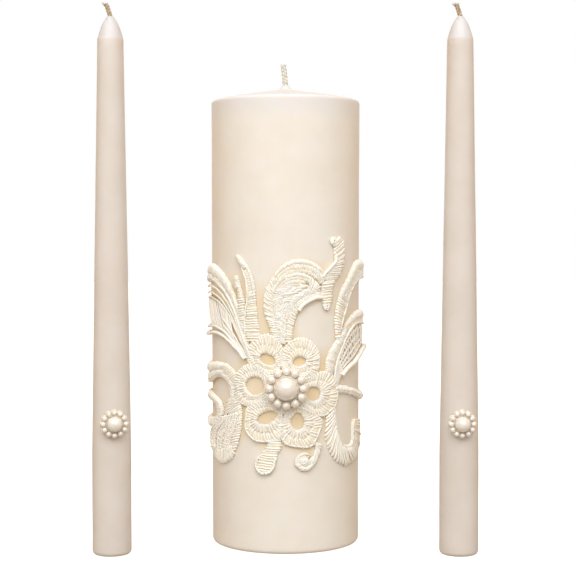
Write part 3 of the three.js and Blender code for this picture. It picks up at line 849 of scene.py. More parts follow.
BANDS = {
    "fan": [
        [[-SEAM, 138.3], [-48, 139], [-41, 137.2], [-35, 133.8], [-30, 129], [-27, 124],
         [-24.5, 118], [-22, 110], [-19, 101], [-17, 95]],
        [[-SEAM, 103], [-50, 103.8], [-44, 104.6], [-39, 104.6], [-35, 103.8], [-31.5, 102.2],
         [-28.5, 100.3], [-26, 98.4], [-23.5, 96.5], [-21, 93.5]],
    ],
    "feather": [
        [[-26.8, 142.2], [-23.2, 138.2], [-20.8, 133.5], [-19.7, 128], [-19.7, 122], [-20.5, 116],
         [-21.2, 110], [-20.5, 102]],
        [[-25.2, 143.9], [-21, 139.9], [-17.6, 134.8], [-15.6, 128.5], [-15, 122], [-14.4, 116],
         [-13.8, 110], [-12.5, 102]],
    ],
    "branch": [
        [[-27.6, 133], [-26.8, 128.5], [-25.8, 124], [-24.8, 119], [-24, 113], [-22.5, 107]],
        [[-25.6, 133.8], [-24, 129.4], [-22.4, 124.5], [-21, 119], [-20.4, 113], [-19.5, 107]],
    ],
    "scroll_back": [
        [[-5.5, 101.5], [-7.5, 109], [-10, 115], [-10.5, 121], [-9.5, 127], [-6.5, 132],
         [-3.5, 136.5], [1, 139.8], [6.5, 141.2], [12, 140.4], [17, 137.8], [20.5, 134.2]],
        [[-1, 101.5], [-2.5, 109], [-5, 114.5], [-6, 119.5], [-5.5, 124.5], [-3.4, 129],
         [-0.6, 132.4], [3, 134.4], [7.5, 134.8], [11.5, 134], [15, 132.2], [18, 129.2]],
    ],
    "scroll_heart": [
        [[-6, 125.5], [-4.5, 129.5], [-1, 133], [4, 135], [9, 134.5], [13, 132.5], [17, 129.5]],
        [[-2.5, 123.5], [-1, 126.3], [2, 128], [6, 128.4], [9.5, 127.8], [12.5, 126.2], [15, 124]],
    ],
    "scroll_belly": [
        [[17.5, 129.5], [12, 128], [6, 125.6], [1.5, 121.6], [-1.4, 117], [-3, 111], [-2.8, 101.7]],
        [[18.5, 123.2], [14.5, 122.8], [10.5, 121], [7.2, 118], [5, 113.5], [3.8, 108],
         [3, 101.5]],
    ],
    "stem": [
        [[23, 149.3], [25.6, 147.3], [26.3, 143.5], [25.8, 140], [22.3, 137], [18.8, 133.5],
         [17.6, 128.5], [17.6, 123], [18.8, 118]],
        [[27.5, 153], [32, 150], [33.2, 145.5], [33, 140.5], [31.4, 135.3], [27.3, 131.3],
         [25.2, 127], [25, 122], [23.5, 118.3]],
    ],
    "blade": [
        [[SEAM, 140], [50, 141], [44, 140], [39, 136.5], [34.5, 131], [30.5, 126], [28, 121],
         [26.7, 115], [26.6, 109], [27.6, 102.1]],
        [[SEAM, 132], [50, 131.8], [44, 130.2], [39.5, 127], [36.5, 123], [34.5, 118.5],
         [32.5, 114], [31, 110.5], [30.5, 106.8], [30.8, 102.6]],
    ],
    "stalk": [
        [[SEAM, 115.5], [50, 116.2], [43, 115.2], [38, 112.8], [33.5, 109.6], [30, 105],
         [26.5, 101.5], [23, 97.5], [20.8, 93], [20, 87]],
        [[SEAM, 108.5], [50, 109.5], [44, 109.5], [39.5, 108], [36, 105.5], [33, 102],
         [30.6, 98], [28.6, 94], [27.2, 90], [26, 84]],
    ],
    "net": [
        [[SEAM, 109.2], [50, 110.2], [44, 110.2], [39, 108.6], [35.4, 106], [32.4, 102.3],
         [30, 98.2], [28, 94.2], [26.6, 90.2], [25.4, 85]],
        [[SEAM, 96.8], [52, 95.5], [47, 93.2], [43, 91], [39.5, 89.4], [36, 88.2], [33, 86.8],
         [30.8, 85], [29.3, 82.5], [27.5, 79.5]],
    ],
    "bridge": [
        [[26.5, 80.3], [33, 79.2], [38, 78.2], [44, 76.8], [50, 75], [SEAM, 73.8]],
        [[26.5, 78.1], [33, 77], [38, 76], [44, 74.6], [50, 72.8], [SEAM, 71.6]],
    ],
    "hook": [
        [[22, 69.5], [20.6, 61], [21.3, 54], [23.4, 48.5], [27, 44.2], [31.5, 41.5], [36.5, 40.8],
         [42, 42], [47.5, 45], [51.3, 50], [52.8, 56], [52, 62]],
        [[26.2, 69.5], [27.4, 61], [28.8, 56], [31, 52.4], [33.5, 51], [36, 50.6], [38, 50.6],
         [39.7, 51.6], [40.3, 54], [40.4, 57], [40.6, 60], [41.5, 62.8]],
    ],
    "loop_top": [
        [[-SEAM, 90], [-50, 90.2], [-43, 90.8], [-36.5, 90.8], [-31, 89.6], [-26.5, 86.5],
         [-24.2, 82], [-23.6, 76.5], [-24.4, 71]],
        [[-SEAM, 79.5], [-50, 80.5], [-43.5, 83], [-38, 84], [-34, 83.2], [-31, 80.8],
         [-29.3, 77], [-29.6, 73], [-31.5, 70.2]],
    ],
    "loop_low": [
        [[-SEAM, 76.5], [-50, 75.2], [-43.5, 74], [-38, 71.8], [-36, 67.5], [-37.5, 62.8],
         [-43, 59.2], [-50, 58.4], [-SEAM, 58.4]],
        [[-SEAM, 72.5], [-50, 71.4], [-44.8, 70.6], [-42, 69], [-41.2, 67], [-42, 65],
         [-45, 63.6], [-50, 63], [-SEAM, 63]],
    ],
    "leaf": [
        [[-33, 74], [-33.6, 69.5], [-35, 65], [-39, 61.6], [-44.5, 59.5], [-49, 56], [-50, 51.5],
         [-48, 46.8]],
        [[-24, 76], [-23.2, 71], [-22.9, 66], [-23.3, 60.4], [-24.3, 56], [-25.7, 52], [-27.6, 47.6]],
    ],
    "leaf_foot": [
        [[-46, 51.4], [-43.2, 50.4], [-40.4, 49.8], [-37, 49.4], [-34, 49.6], [-31.4, 50.4],
         [-29, 52]],
        [[-48.4, 47.6], [-45.4, 44.6], [-41.6, 42.6], [-37.2, 41.7], [-33, 42.6], [-29.6, 44.8],
         [-27.2, 48]],
    ],
    "drop": [
        [[-8.2, 56], [-9.2, 52], [-11.6, 48.8], [-14, 45.8], [-14.8, 42.6], [-13.4, 40],
         [-10.5, 38.9]],
        [[-2.2, 56.5], [-2.2, 51.8], [-3.6, 48.2], [-4.8, 45], [-5.5, 42.2], [-7.1, 39.9],
         [-9.9, 38.9]],
    ],
    "curl": [
        [[18.8, 55], [18.3, 50.5], [16.8, 46.5], [14.4, 42.8], [11, 40.5], [7.5, 40.8], [5, 43],
         [4.9, 46], [7, 48.2], [10, 48.8], [12.5, 48]],
        [[14.8, 54.6], [15.3, 50.5], [13.9, 47.3], [12.2, 45.4], [10.8, 44.4], [9.6, 44.2],
         [9, 44.6], [9, 45.2], [9.5, 45.6], [10.2, 45.7], [10.8, 45.4]],
    ],
    "scroll_core": [
        [[-2.4, 106], [-4.2, 111], [-5.8, 116], [-6.2, 121], [-5, 125.4], [-2, 129.6]],
        [[-1, 104], [-1.8, 111], [-0.6, 116.5], [2, 121], [6, 125], [11, 128.6]],
    ],
}

# %% Stitch recipes
# Stitches: kind, from one share across the band to another, from one share along it to
# another, and a slant. A cord has one share across, and ends in a girth, where 1 is common. A
# knot has its share across, its share along and its radius in millimetres.
RECIPES = {
    # The fan's floor is a low sheet of tan ground between its cords: painted shade.
    "fan": [
        ("satin", 0, 0.15, 0, 0.7), ("rungs", 0, 0.2, 0.66, 1, 0), ("rungs", 0.13, 0.24, 0, 0.8, 0),
        ("beaded", 0.2, 0, 1, 1.0), ("beaded", 0.3, 0, 1, 0.9), ("cord", 0.39, 0, 1, 0.75),
        ("cord", 0.46, 0, 1, 0.8), ("spokes", 0.46, 0.88, 0, 0.62, 0.22),
        ("cord", 0.66, 0.5, 1, 0.8), ("cord", 0.77, 0.56, 1, 0.8),
        ("cord", 0.87, 0, 1, 1.15), ("beaded", 0.975, 0, 1, 1.35), ("floor", 0.1, 0.46, 0, 1),
    ],
    "feather": [
        ("satin", 0, 1, 0, 0.2), ("satin", 0.62, 1, 0.12, 0.55), ("rungs", 0, 0.66, 0.14, 0.5, 0),
        ("rungs", 0.05, 1, 0.46, 1, 0), ("beaded", 0.06, 0.16, 0.9, 0.75),
    ],
    "branch": [
        ("satin", 0, 1, 0, 0.25), ("satin", 0.35, 1, 0.15, 0.5), ("rungs", 0, 1, 0.42, 1, 0),
    ],
    "scroll_back": [
        ("rungs", 0, 0.56, 0, 0.52, 0), ("rungs", 0.5, 1, 0, 0.5, 0.01),
        ("satin", 0, 0.34, 0.5, 1), ("fine", 0.3, 0.72, 0.48, 1, 0.02),
        ("fine", 0.66, 1, 0.48, 1, -0.01),
    ],
    "scroll_heart": [
        ("satin", 0, 0.3, 0.05, 0.85), ("satin", 0.5, 0.8, 0, 0.7), ("fine", 0.26, 0.54, 0, 0.85, 0),
        ("fine", 0.76, 1, 0, 0.8, 0), ("fine", 0, 1, 0.78, 1, 0),
    ],
    "scroll_belly": [
        ("cord", 1, 0, 0.47, 1.75), ("fine", 0.1, 0.62, 0.05, 0.6, 0.1),
        ("fine", 0, 0.5, 0.1, 0.66, -0.1), ("fine", 0.56, 0.94, 0, 0.45, -0.03),
        ("beaded", 0.2, 0, 1, 0.75), ("beaded", 0.42, 0.1, 1, 0.75), ("beaded", 0.62, 0.2, 0.9, 0.7),
        ("rungs", 0.5, 1, 0.44, 1, 0), ("rungs", 0, 0.5, 0.62, 1, 0.05),
    ],
    "stem": [
        ("rungs", 0, 1, 0.04, 0.3, 0), ("rungs", 0.12, 0.95, 0.28, 0.97, 0),
        ("cord", 0.05, 0.2, 0.58, 1.35), ("fine", 0, 0.3, 0.3, 0.62, 0.02),
        ("knot", 0.3, 0.03, 2.0), ("knot", 0.5, 0.985, 1.9),
    ],
    "blade": [
        ("satin", 0, 0.5, 0, 0.68), ("rungs", 0.42, 0.97, 0.06, 0.64, 0.012),
        ("rungs", 0, 1, 0.6, 1, 0), ("beaded", 0.95, 0, 0.9, 0.9), ("beaded", 0.5, 0.1, 0.62, 0.8),
    ],
    "stalk": [
        ("satin", 0, 0.55, 0, 0.55), ("satin", 0.05, 0.9, 0.5, 1), ("fine", 0.5, 0.9, 0, 0.52, 0),
        ("cord", 0.93, 0, 1, 1.1),
    ],
    "net": [
        ("bars", 0.02, 0.86, 0, 0.92, 0), ("line", 0.2, 0, 0.95, 1.0), ("line", 0.4, 0, 0.95, 1.0),
        ("line", 0.6, 0, 0.95, 1.0), ("line", 0.78, 0.1, 0.9, 0.9), ("beaded", 0.92, 0, 0.85, 1.9),
        ("rungs", 0.1, 1, 0.8, 1, 0),
    ],
    "bridge": [("rungs", -0.2, 1.2, 0, 1, 0), ("beaded", 0.5, 0, 1, 1.0)],
    "hook": [
        ("bold", 0.02, 0.93, 0.02, 0.72, -0.05), ("rungs", 0, 0.9, 0.66, 1, 0.0),
        ("satin", 0.86, 1, 0.42, 1), ("beaded", 0.97, 0, 0.42, 0.75),
    ],
    "loop_top": [
        ("satin", 0, 0.5, 0, 0.55), ("satin", 0.45, 0.96, 0.02, 0.6), ("rungs", 0, 0.75, 0.5, 1, 0),
        ("satin", 0.6, 1, 0.5, 1), ("cord", 0.97, 0, 0.96, 0.8),
    ],
    "loop_low": [("satin", 0.02, 0.98, 0, 0.8), ("satin", 0, 1, 0.7, 1)],
    "leaf": [
        ("rungs", 1, 0.3, 0, 0.3, 0.07), ("rungs", 0.5, 0, 0.02, 0.24, 0.03),
        ("rungs", 1, 0.8, 0.26, 0.94, 0.06), ("fine", 0.05, 0.27, 0.26, 0.92, 0.03),
        ("fine", 0.3, 0.52, 0.24, 0.92, 0.03), ("fine", 0.55, 0.77, 0.22, 0.92, 0.03),
        *[("beaded", 0.02 + 0.13 * i, 0.27, 0.95, 1.15) for i in range(7)],
    ],
    "leaf_foot": [("rungs", 0, 1, 0, 1, 0)],
    "scroll_core": [
        ("fine", 0, 0.5, 0, 0.95, 0.08), ("fine", 0.45, 1, 0, 0.95, 0.08),
        ("beaded", 0.3, 0.1, 0.9, 0.9), ("beaded", 0.65, 0.05, 0.95, 0.9),
        ("knot", 0.55, 0.34, 1.7), ("knot", 0.4, 0.78, 1.6),
    ],
    "drop": [
        ("rungs", 0, 1, 0, 0.97, 0.03), ("beaded", 0.02, 0.5, 1, 1.1), ("beaded", 0.97, 0.5, 1, 1.1),
    ],
    "curl": [
        ("rungs", 0, 1, 0.06, 0.4, 0), ("satin", 0, 0.34, 0.3, 1), ("fine", 0.3, 0.96, 0.38, 1, 0),
        ("knot", 0.8, 0.72, 1.9),
    ],
}
print(len(BANDS), "bands and", len(PETALS), "petals on the card")


# %% [markdown]
# ### From the card to threads
# An edge is smoothed by a Catmull-Rom spline, which passes through its points, and cut into
# even steps. A place in a band is then two shares: how far along, and how far across from the
# first edge to the second. Every stitch is a short line between two such places, with a height
# off the wax at each of its points.

# %% Edges and places
def catmull_rom(points, closed, steps=16):
    """A smooth line through the points, with some steps from each to the next."""
    points = np.asarray(points, float)
    count = len(points)
    spans = count if closed else count - 1
    ways = np.arange(steps) / steps
    out = []
    for i in range(spans):
        four = [i - 1, i, i + 1, i + 2]
        four = [k % count if closed else min(max(k, 0), count - 1) for k in four]
        a, b, c, d = points[four]
        w = ways[:, None]
        out.append(
            0.5 * (2 * b + (c - a) * w + (2 * a - 5 * b + 4 * c - d) * w**2
                   + (3 * b - a - 3 * c + d) * w**3)
        )
    out.append(points[:1] if closed else points[-1:])
    return np.concatenate(out)


def evened(line, count=240):
    """The same line in even steps."""
    lengths = np.concatenate([[0], np.cumsum(np.linalg.norm(np.diff(line, axis=0), axis=1))])
    wanted_lengths = np.linspace(0, lengths[-1], count)
    return np.column_stack([np.interp(wanted_lengths, lengths, line[:, k]) for k in (0, 1)])


def spot(rails, s, t):
    """The place at share s along and share t across a band."""
    s, t = np.broadcast_arrays(np.asarray(s, float), np.asarray(t, float))
    steps = np.clip(s, 0, 1) * (len(rails[0]) - 1)
    i = np.minimum(steps.astype(int), len(rails[0]) - 2)
    part = (steps - i)[..., None]
    a, b = (rail[i] * (1 - part) + rail[i + 1] * part for rail in rails)
    return a * (1 - t[..., None]) + b * t[..., None]


def length_along(rails, t, s0, s1):
    """How long a band is at share t across, from share s0 to share s1 along."""
    line = spot(rails, np.linspace(s0, s1, 80), t)
    return float(np.linalg.norm(np.diff(line, axis=0), axis=1).sum())


def petal_rails(petal):
    """The eye's oval and the petal's outline, both from the same direction round."""
    reach = np.array(petal["reach"])
    outer = catmull_rom(round_points(petal["at"], reach, full_turn(len(reach))), True, 24)
    tilt = math.radians(petal["tilt"])
    around = np.linspace(0, 2 * math.pi, len(outer)) - tilt
    width, high = petal["eye"]
    across, up = width * np.cos(around), high * np.sin(around)
    inner = np.column_stack([
        across * math.cos(tilt) - up * math.sin(tilt),
        across * math.sin(tilt) + up * math.cos(tilt),
    ])
    return petal["at"] + inner, outer


for petal in PETALS:
    print("petal at", petal["at"], f"is {length_along(petal_rails(petal), 1, 0, 1):.0f} mm round")


# %% [markdown]
# ### Heights
# A stitch rises steeply from the edge, runs over its padding and dives again, and its thread
# bunches where it turns, so each end is a small bright knob. No two stitches are alike: place,
# length, height and girth all vary a little. Satin is the exception, close and even, and it
# fades at the ends of a ridge.

# %% Threads for each kind of stitch
ALONG = np.array([0, 0.06, 0.2, 0.4, 0.6, 0.8, 0.94, 1])
RISE = np.array([0.16, 0.62, 0.95, 1, 1, 0.95, 0.62, 0.16])
KNOBS = np.array([1.05, 1.25, 1.05, 0.95, 0.95, 1.05, 1.25, 1.05])
KINDS = {
    # pitch, girth, height of the thread's middle on a long stitch, height of the ground
    "satin": (0.8, 0.95, 1.45, 1.1),
    "rungs": (1.2, 1.0, 1.2, 1.0),
    "fine": (1.0, 0.9, 1.25, 1.05),
    "bold": (1.7, 1.3, 1.3, 0.75),
    "bars": (1.9, 0.95, 1.0, None),
    "spokes": (1.7, 0.9, 0.95, None),
}
CORD_STEP = 0.42
KNOT_TURNS = 2.2
STITCHES = []
CORDS = []
GROUND = []
luck = np.random.default_rng(21)


def add_stitches(rails, kind, t0, t1, s0, s1, slant=0.0):
    """A row of stitches, each from share t0 to t1 across, set from share s0 to s1 along."""
    pitch, girth, high, ground = KINDS[kind]
    even = kind == "satin"
    count = max(2, round(length_along(rails, (t0 + t1) / 2, s0, s1) / pitch))
    for i in range(count):
        stray = luck.uniform(-1, 1, 4) * (0.45 if even else 1)
        x = (i + 0.5 + 0.2 * stray[0]) / count
        fade = (1 - abs(2 * x - 1) ** 6) ** 0.5 if even else 1.0
        middle, half = (t0 + t1) / 2, (t1 - t0) / 2 * fade
        start = middle - half * (1 + 0.07 * stray[1])
        stop = middle + half * (1 + 0.07 * stray[2])
        line = spot(rails, s0 + (s1 - s0) * x + slant * ALONG, start + (stop - start) * ALONG)
        span = float(np.linalg.norm(line[-1] - line[0]))
        top = high * min(1.0, 0.5 + span / 7) * (0.4 + 0.6 * fade) * (1 + 0.14 * stray[3])
        girths = girth * (1 + 0.12 * stray[0]) * (np.ones(len(KNOBS)) if even else KNOBS)
        STITCHES.append((line, top * RISE, girths))
    if ground:
        GROUND.append((rails, t0, t1, s0, s1, ground))


def add_cord(rails, t, s0, s1, girth, kind):
    """A cord along a band at share t across. A 'line' lies lower than the others."""
    count = max(4, round(length_along(rails, t, s0, s1) / CORD_STEP))
    line = spot(rails, np.linspace(s0, s1, count), t)
    low = 0.35 if kind == "line" else 0.7
    CORDS.append((line, np.full(count, low + 0.5 * girth), girth, kind == "beaded"))


def add_knot(rails, t, s, radius):
    """A coil of thread that winds in to a knob."""
    turns = np.linspace(0, KNOT_TURNS * 2 * math.pi, 40)
    reach = radius * (1 - 0.8 * turns / turns[-1])
    line = round_points(spot(rails, s, t), reach, turns)
    heights = 0.9 + 0.6 * (1 - (reach / radius) ** 2)
    CORDS.append((line, heights, 0.95, True))


def stitch_band(rails, recipe):
    """Works through a band's recipe, one entry after another."""
    for kind, *numbers in recipe:
        if kind in ("cord", "beaded", "line"):
            add_cord(rails, *numbers, kind)
        elif kind == "knot":
            add_knot(rails, *numbers)
        # A floor is a low sheet of the ground's tan: painted shade in the gaps between cords.
        elif kind == "floor":
            GROUND.append((rails, *numbers, 0.05))
        else:
            add_stitches(rails, kind, *numbers)


for name, edges in BANDS.items():
    stitch_band([evened(catmull_rom(edge, False)) for edge in edges], RECIPES[name])
for petal in PETALS:
    rails = petal_rails(petal)
    add_stitches(rails, "rungs", 0.02, 0.52, 0, 1)
    add_stitches(rails, "rungs", 0.46, 1, 0, 1, 0.015)
    add_stitches(rails, "satin", 0.02, 0.26, 0.52, 0.98)
    add_cord(rails, 0.94, 0, 1, 0.75 if petal["at"][1] < 70 else 0.62, "beaded")
ring = np.linspace(0, 2 * math.pi, 120)
eye_rails = [round_points(FLOWER_EYE, radius, ring) for radius in (5.5, 8.3)]
add_stitches(eye_rails, "rungs", 0, 1, 0, 1)
ways = [np.subtract(petal["at"], FLOWER_EYE) for petal in PETALS]
for number in range(len(PETALS)):
    way, next_way = (math.atan2(up, across) for across, up in (ways[number], ways[number - 1]))
    gap = way + (next_way - way) % (2 * math.pi) / 2
    web = np.linspace(-0.17, 0.17, 24) + gap
    web_rails = [round_points(FLOWER_EYE, radius, web) for radius in (7.6, 13.2)]
    add_stitches(web_rails, "fine", 0, 1, 0, 1)
print(len(STITCHES), "stitches,", len(CORDS), "cords and", len(GROUND), "ground patches")


# %% [markdown]
# ### Roll the card round the candle
# The distance round becomes an angle at the lace's own radius, and the guide lies on the wax.
# Geometry Nodes then turn the guides to thread. A modifier could bend a finished flat lace, but
# it would squash each thread's round section, and rolling the guides alone doesn't.

# %% Roll and stitch
SIDE_STAND = 0.55


def wax_radius(height):
    """The pillar's radius at a height. It widens evenly from foot to rim."""
    return PILLAR_FOOT_RADIUS + (PILLAR_RIM_RADIUS - PILLAR_FOOT_RADIUS) * height / PILLAR_RIM_HEIGHT


def stand(line):
    """The stiff lace doesn't hug the wax all the way round: it stands prouder at the sides."""
    return 1 + SIDE_STAND * (line[:, 0] / SEAM) ** 2


def rolled(line, lift=0.0):
    """A flat line in millimetres, laid on the wax."""
    angle = line[:, 0] / LACE_RADIUS
    radius = wax_radius(line[:, 1]) + lift * stand(line)
    return np.column_stack([radius * np.sin(angle), -radius * np.cos(angle), line[:, 1]])


def threads_mesh(name, threads, **sizes):
    """Rolls flat threads on to the wax and grows them."""
    guide = guide_lines(
        name + "_lines", [rolled(line) for line, *_ in threads],
        height=[heights * stand(line) * MM for line, heights, *_ in threads],
        stitch=range(len(threads)), girth=[thread[2] for thread in threads],
    )
    return grown(name, guide, thread_tree, LACE_THREAD, **sizes)


stitch_mesh = threads_mesh(
    "stitches", STITCHES, Thread_Radius=0.44 * MM, Bead_Depth=0.0, Bead_Pitch=1 * MM,
    Wander=0.8 * MM, Wander_Size=2.0 * MM, Height_Spread=0.08, Sides=6, Seed=11,
)
smooth_cord_mesh = threads_mesh(
    "smooth_cords", [cord for cord in CORDS if not cord[3]], Thread_Radius=0.5 * MM,
    Bead_Depth=0.12, Bead_Pitch=0.9 * MM, Wander=0.5 * MM, Wander_Size=5 * MM,
    Height_Spread=0.06, Sides=8, Seed=12,
)
beaded_cord_mesh = threads_mesh(
    "beaded_cords", [cord for cord in CORDS if cord[3]], Thread_Radius=0.42 * MM,
    Bead_Depth=0.7, Bead_Pitch=1.45 * MM, Wander=0.6 * MM, Wander_Size=4 * MM,
    Height_Spread=0.08, Sides=6, Seed=13,
)
cord_mesh = joined_mesh("cords", [smooth_cord_mesh, beaded_cord_mesh])

# %% [markdown]
# ### Painted shade round the lace
# The wax that the threads enclose, and a little of it round the lace, is painted a deeper tan:
# painted shade for the lace's shadow and the warm light it throws back on the wax. It could be
# painted on by hand. Here each point of the wax gets a number from 0 to 1 by how much of the card
# round it is covered, and the wax's finish reads it, so the shade follows any change to the lace.

# %% Paint shade round the lace
SHADE_REACH = 4.2
SHADE_START, SHADE_FULL = 0.3, 0.85


def write_painted_shade(mesh, lines):
    """Writes a painted-shade number on each point of the wax, from how much lace lies round it."""
    edges = [np.arange(-60, 61), np.arange(30, 161)]
    cover = np.histogram2d(*np.concatenate(lines).T, bins=edges)[0] > 0
    middles = [edge[:-1] + 0.5 for edge in edges]
    places = np.array([vertex.co for vertex in mesh.vertices]) / MM
    round_way = LACE_RADIUS * np.arctan2(places[:, 0], np.abs(places[:, 1]))
    weights = [
        np.exp(-0.5 * ((way[:, None] - middle) / SHADE_REACH) ** 2)
        for way, middle in zip((round_way, places[:, 2]), middles)
    ]
    whole = weights[0].sum(1) * weights[1].sum(1) + 1e-9
    share = ((weights[0] @ cover) * weights[1]).sum(1) / whole
    # Painted shade: the more of the card round a point is covered, the deeper tan it is painted.
    painted_lace_shade = np.clip((share - SHADE_START) / (SHADE_FULL - SHADE_START), 0, 1)
    values = mesh.attributes.new("painted_lace_shade", "FLOAT", "POINT")
    values.data.foreach_set("value", painted_lace_shade.astype(np.float32))
    print(f"soaked wax: {(painted_lace_shade > 0.5).sum()} of {len(painted_lace_shade)} points")
    print(f"the lace covers {cover.sum()} square mm of the card")


write_painted_shade(pillar_mesh, [line for line, *_ in STITCHES + CORDS])

# %% [markdown]
# ### The ground under the stitches
# Under the floss lies a close ground of cotton, padded where a ridge stands up. Its tan, deeper
# than the floss, is painted shade for the gaps between stitches. Each patch runs over its part of
# the band, crowned across, and back underneath. A flat sheet with Solidify would be as closed,
# but it couldn't be thick in the middle and thin at the edges.

# %% Weave the ground
GROUND_ROW = 1.6
GROUND_EDGE = 0.25
GROUND_BACK = 0.1


def patch_mesh(rails, t0, t1, s0, s1, crown, across=7):
    """Rings that run over the patch and back under it, with a wall at each end."""
    rows = max(4, round(length_along(rails, (t0 + t1) / 2, s0, s1) / GROUND_ROW))
    t = np.linspace(0, 1, across)
    arch = (4 * t * (1 - t)) ** 0.4
    rings = []
    for s in np.linspace(s0, s1, rows):
        flat = spot(rails, s, t0 + (t1 - t0) * t)
        under = rolled(flat, GROUND_BACK)
        over = rolled(flat, GROUND_EDGE + crown * arch)
        rings.append([*over, *under[::-1]])
        wall = [*under, *under[::-1]]
        if len(rings) == 1:
            rings.insert(0, wall)
    return lofted_mesh("patch", [*rings, wall])


ground_mesh = joined_mesh("ground", [patch_mesh(*patch) for patch in GROUND])


def mirrored(name, mesh):
    """The back's lace is the front's seen in a mirror, so that their edges meet."""
    other = mesh.copy()
    other.name = name
    other.transform(Matrix.Scale(-1, 4, (0, 1, 0)))
    other.flip_normals()
    return other


for side in ("front", "back"):
    parts = {
        part: mesh if side == "front" else mirrored(f"back_{part}", mesh)
        for part, mesh in (("ground", ground_mesh), ("stitches", stitch_mesh), ("cords", cord_mesh))
    }
    node = f"{side}_lace"
    ground, stitches, cords = (
        finish_piece(
            f"{node}_{part}", mesh, LACE_GROUND_SHADED if part == "ground" else LACE_THREAD, "pillar",
            [node],
        )
        for part, mesh in parts.items()
    )

# %% [markdown]
# ## Brooches
# Each brooch is a lacquered half pearl in a cup, with twelve small ones round it, on a pressed
# plate with a scallop under each. It is glued to the lace on the pillar and to the wax on each
# taper. It could be one mesh, but four keep each finish, and the CAD nodes, apart. The parts are
# modelled at the origin facing up, ringed by Geometry Nodes, and stood up to face forwards.

# %% Parts of a brooch
BROOCHES = {
    "pillar": {"pearl": 5.5, "bead": 1.9, "ring": 8.1, "lobe": 2.3, "sheet": 0.9, "pad": 5,
               "stand_off": 2.9, "wax": PILLAR_RIM_RADIUS},
    "left_taper": {"pearl": 3.6, "bead": 1.25, "ring": 5.35, "lobe": 1.52, "sheet": 0.7, "pad": 4,
                   "stand_off": 0.9, "wax": BUTT_RADIUS},
}
BROOCHES["right_taper"] = BROOCHES["left_taper"]
BEADS = 12
PEARL_WAIST = math.sin(math.radians(20))


def dome(name, radius, below, segments, steps):
    """The part of a ball above below degrees under its middle, flat behind and standing on Z = 0."""
    rise = radius * math.sin(math.radians(below))
    arc = round_corner(0, rise, radius, -below, 90, steps - 1)
    return turned_mesh(name, [[0, 0], *arc[:-1], [0, radius + rise]], segments)


def half_pearl(radius, segments, steps):
    """A little more than half a pearl, with its widest ring off the plate."""
    return dome("half_pearl", radius, 20, segments, steps)


def cup(radius, wall, depth, segments):
    """A thin cup round a pearl's foot, rolled at its lip."""
    rise = radius * PEARL_WAIST
    inner = [math.sqrt(radius**2 - (h - rise) ** 2) + 0.03 for h in (0, depth / 2, depth)]
    outline = [
        [inner[0], 0],
        [inner[0] + wall * 0.7, 0],
        [inner[1] + wall, depth / 2],
        [inner[2] + wall, depth * 0.9],
        [inner[2] + wall * 0.6, depth * 1.12],
        [inner[2], depth],
        [inner[1], depth / 2],
        [inner[0], 0],
    ]
    return turned_mesh("cup", outline, segments)


def stud(radius):
    """A small round boss."""
    return dome("stud", radius, 40, 12, 6)


def ringed(name, part, radius, first, finish):
    """One part for each bead, evenly round a ring, from a first angle."""
    return grown(
        name, part, ring_tree, finish, Count=BEADS, Ring_Radius=radius * MM, First_Angle=first
    )


def scalloped_plate(size):
    """The back plate: a lobe under each bead, with softened edges."""
    angles = full_turn(240)
    half = math.pi / BEADS
    off = (angles + half) % (2 * half) - half
    reach = size["ring"] * np.cos(off) + np.sqrt(
        size["lobe"] ** 2 - (size["ring"] * np.sin(off)) ** 2
    )
    sheet = size["sheet"]
    # How far each layer lies inside the outline, and its height.
    layers = [(0.12, 0), (0, 0.12), (0, sheet - 0.15), (0.05, sheet - 0.04), (0.18, sheet)]
    sides = [
        at_height(round_points((0, 0), reach - inset, angles), height) for inset, height in layers
    ]
    return lofted_mesh("plate", [[[0, 0, 0]], *sides, [[0, 0, sheet]]])


def glue_pad(size):
    """A squashed blob: flat against the plate, hollowed behind by the round wax."""
    front = size["wax"] + size["stand_off"] - 0.05
    hollow = size["wax"] + 0.05
    bulge = 0.15 if size["stand_off"] > 1.5 else 0.06
    shares = np.arange(1, 11) / 10
    discs = [
        round_points((0, 0), size["pad"] * share + bulge * math.sin(3 * share), full_turn(64))
        for share in shares
    ]
    faces = [at_height(disc, front) for disc in discs]
    backs = [at_height(disc, np.sqrt(np.maximum(hollow**2 - disc[:, 0] ** 2, 1))) for disc in discs]
    return lofted_mesh("glue", [[[0, 0, front]], *faces, *backs[::-1], [[0, 0, hollow]]])


# %% Set the brooches
STAND_UP = Matrix.Rotation(math.radians(90), 4, "X")
PEARL_LIFT = Matrix.Translation((0, 0, 0.3 * MM))


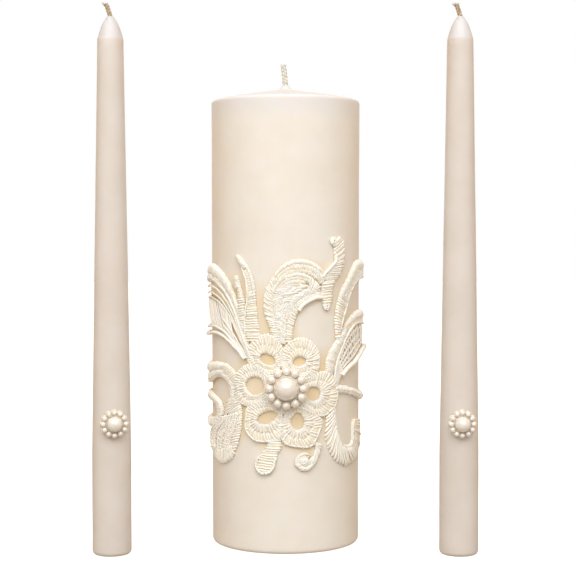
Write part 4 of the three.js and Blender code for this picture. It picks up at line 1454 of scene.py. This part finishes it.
def set_brooch(owner, size, body_place, height):
    """Makes a brooch's four pieces and places them: face forwards, back against the candle."""
    plate_back = size["wax"] + size["stand_off"]
    stood = body_place @ Matrix.Translation((0, 0, height * MM)) @ STAND_UP
    on_plate = stood @ Matrix.Translation((0, 0, plate_back * MM))
    on_face = stood @ Matrix.Translation((0, 0, (plate_back + size["sheet"]) * MM))

    plate = scalloped_plate(size)
    plate.transform(on_plate)
    between = math.pi / BEADS
    metal = [
        cup(size["pearl"], 0.075 * size["pearl"], 0.26 * size["pearl"], 96),
        ringed("cups", cup(size["bead"], 0.1, 0.34 * size["bead"], 24), size["ring"], 0, SETTING),
        ringed("studs", stud(0.17 * size["lobe"]), size["ring"] * 1.03, between, SETTING),
        ringed("inner_studs", stud(0.13 * size["lobe"]), size["pearl"] * 1.15, between, SETTING),
    ]
    for mesh in metal:
        mesh.transform(on_face)
    pearl = half_pearl(size["pearl"], 96, 28)
    beads = ringed("ring_pearls", half_pearl(size["bead"], 28, 11), size["ring"], 0, PEARL)
    for mesh in (pearl, beads):
        mesh.transform(on_face @ PEARL_LIFT)
    pad = glue_pad(size)
    pad.transform(stood)
    ring_nodes = [f"ring_pearl_{i:02d}" for i in range(1, BEADS + 1)]
    for part, mesh, finish, slot, nodes in (
        ("brooch_plate", joined_mesh("plate", [plate, *metal]), SETTING, "setting", ["brooch_setting"]),
        ("centre_pearl", pearl, PEARL, "pearl", ["brooch_pearl"]),
        ("ring_pearls", beads, PEARL, "pearl", ring_nodes),
        ("glue_pad", pad, GLUE, "glue", ["brooch_glue"]),
    ):
        finish_piece(
            f"{owner}_{part}", mesh, finish, owner, [f"{owner}_{node}" for node in nodes]
        )


for owner, size in BROOCHES.items():
    low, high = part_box(f"{owner}_brooch_pearl")
    middle = (low + high) / 2
    side = owner.split("_")[0]
    place = TAPER_PLACES.get(side, Matrix.Translation((middle.x, 0, 0)))
    set_brooch(owner, size, place, middle.z / MM)

# %% [markdown]
# ## Floor
# The set stands on a plain white sheet with a faint glow of its own, so it stays white with
# only a soft shade where each candle meets it. The glow is for the picture alone: the candles
# are lit from below by the world's dimmer table colour.

# %% Floor
floor_mesh = bpy.data.meshes.new("floor")
floor_mesh.from_pydata([(-6, -6, 0), (6, -6, 0), (6, 6, 0), (-6, 6, 0)], [], [(0, 1, 2, 3)])
paper = bpy.data.materials.new("white_paper_sheet")
paper.use_nodes = True
for key, value in {
    "Base Color": linear("#f7f5f2"), "Roughness": 0.8, "Emission Color": (1, 1, 1, 1),
    "Emission Strength": 0.72,
}.items():
    paper.node_tree.nodes["Principled BSDF"].inputs[key].default_value = value
floor_mesh.materials.append(paper)
floor = add_object("floor", floor_mesh)
floor.location.z = -0.0002
floor.visible_diffuse = False
floor.visible_glossy = False
floor.visible_shadow = False
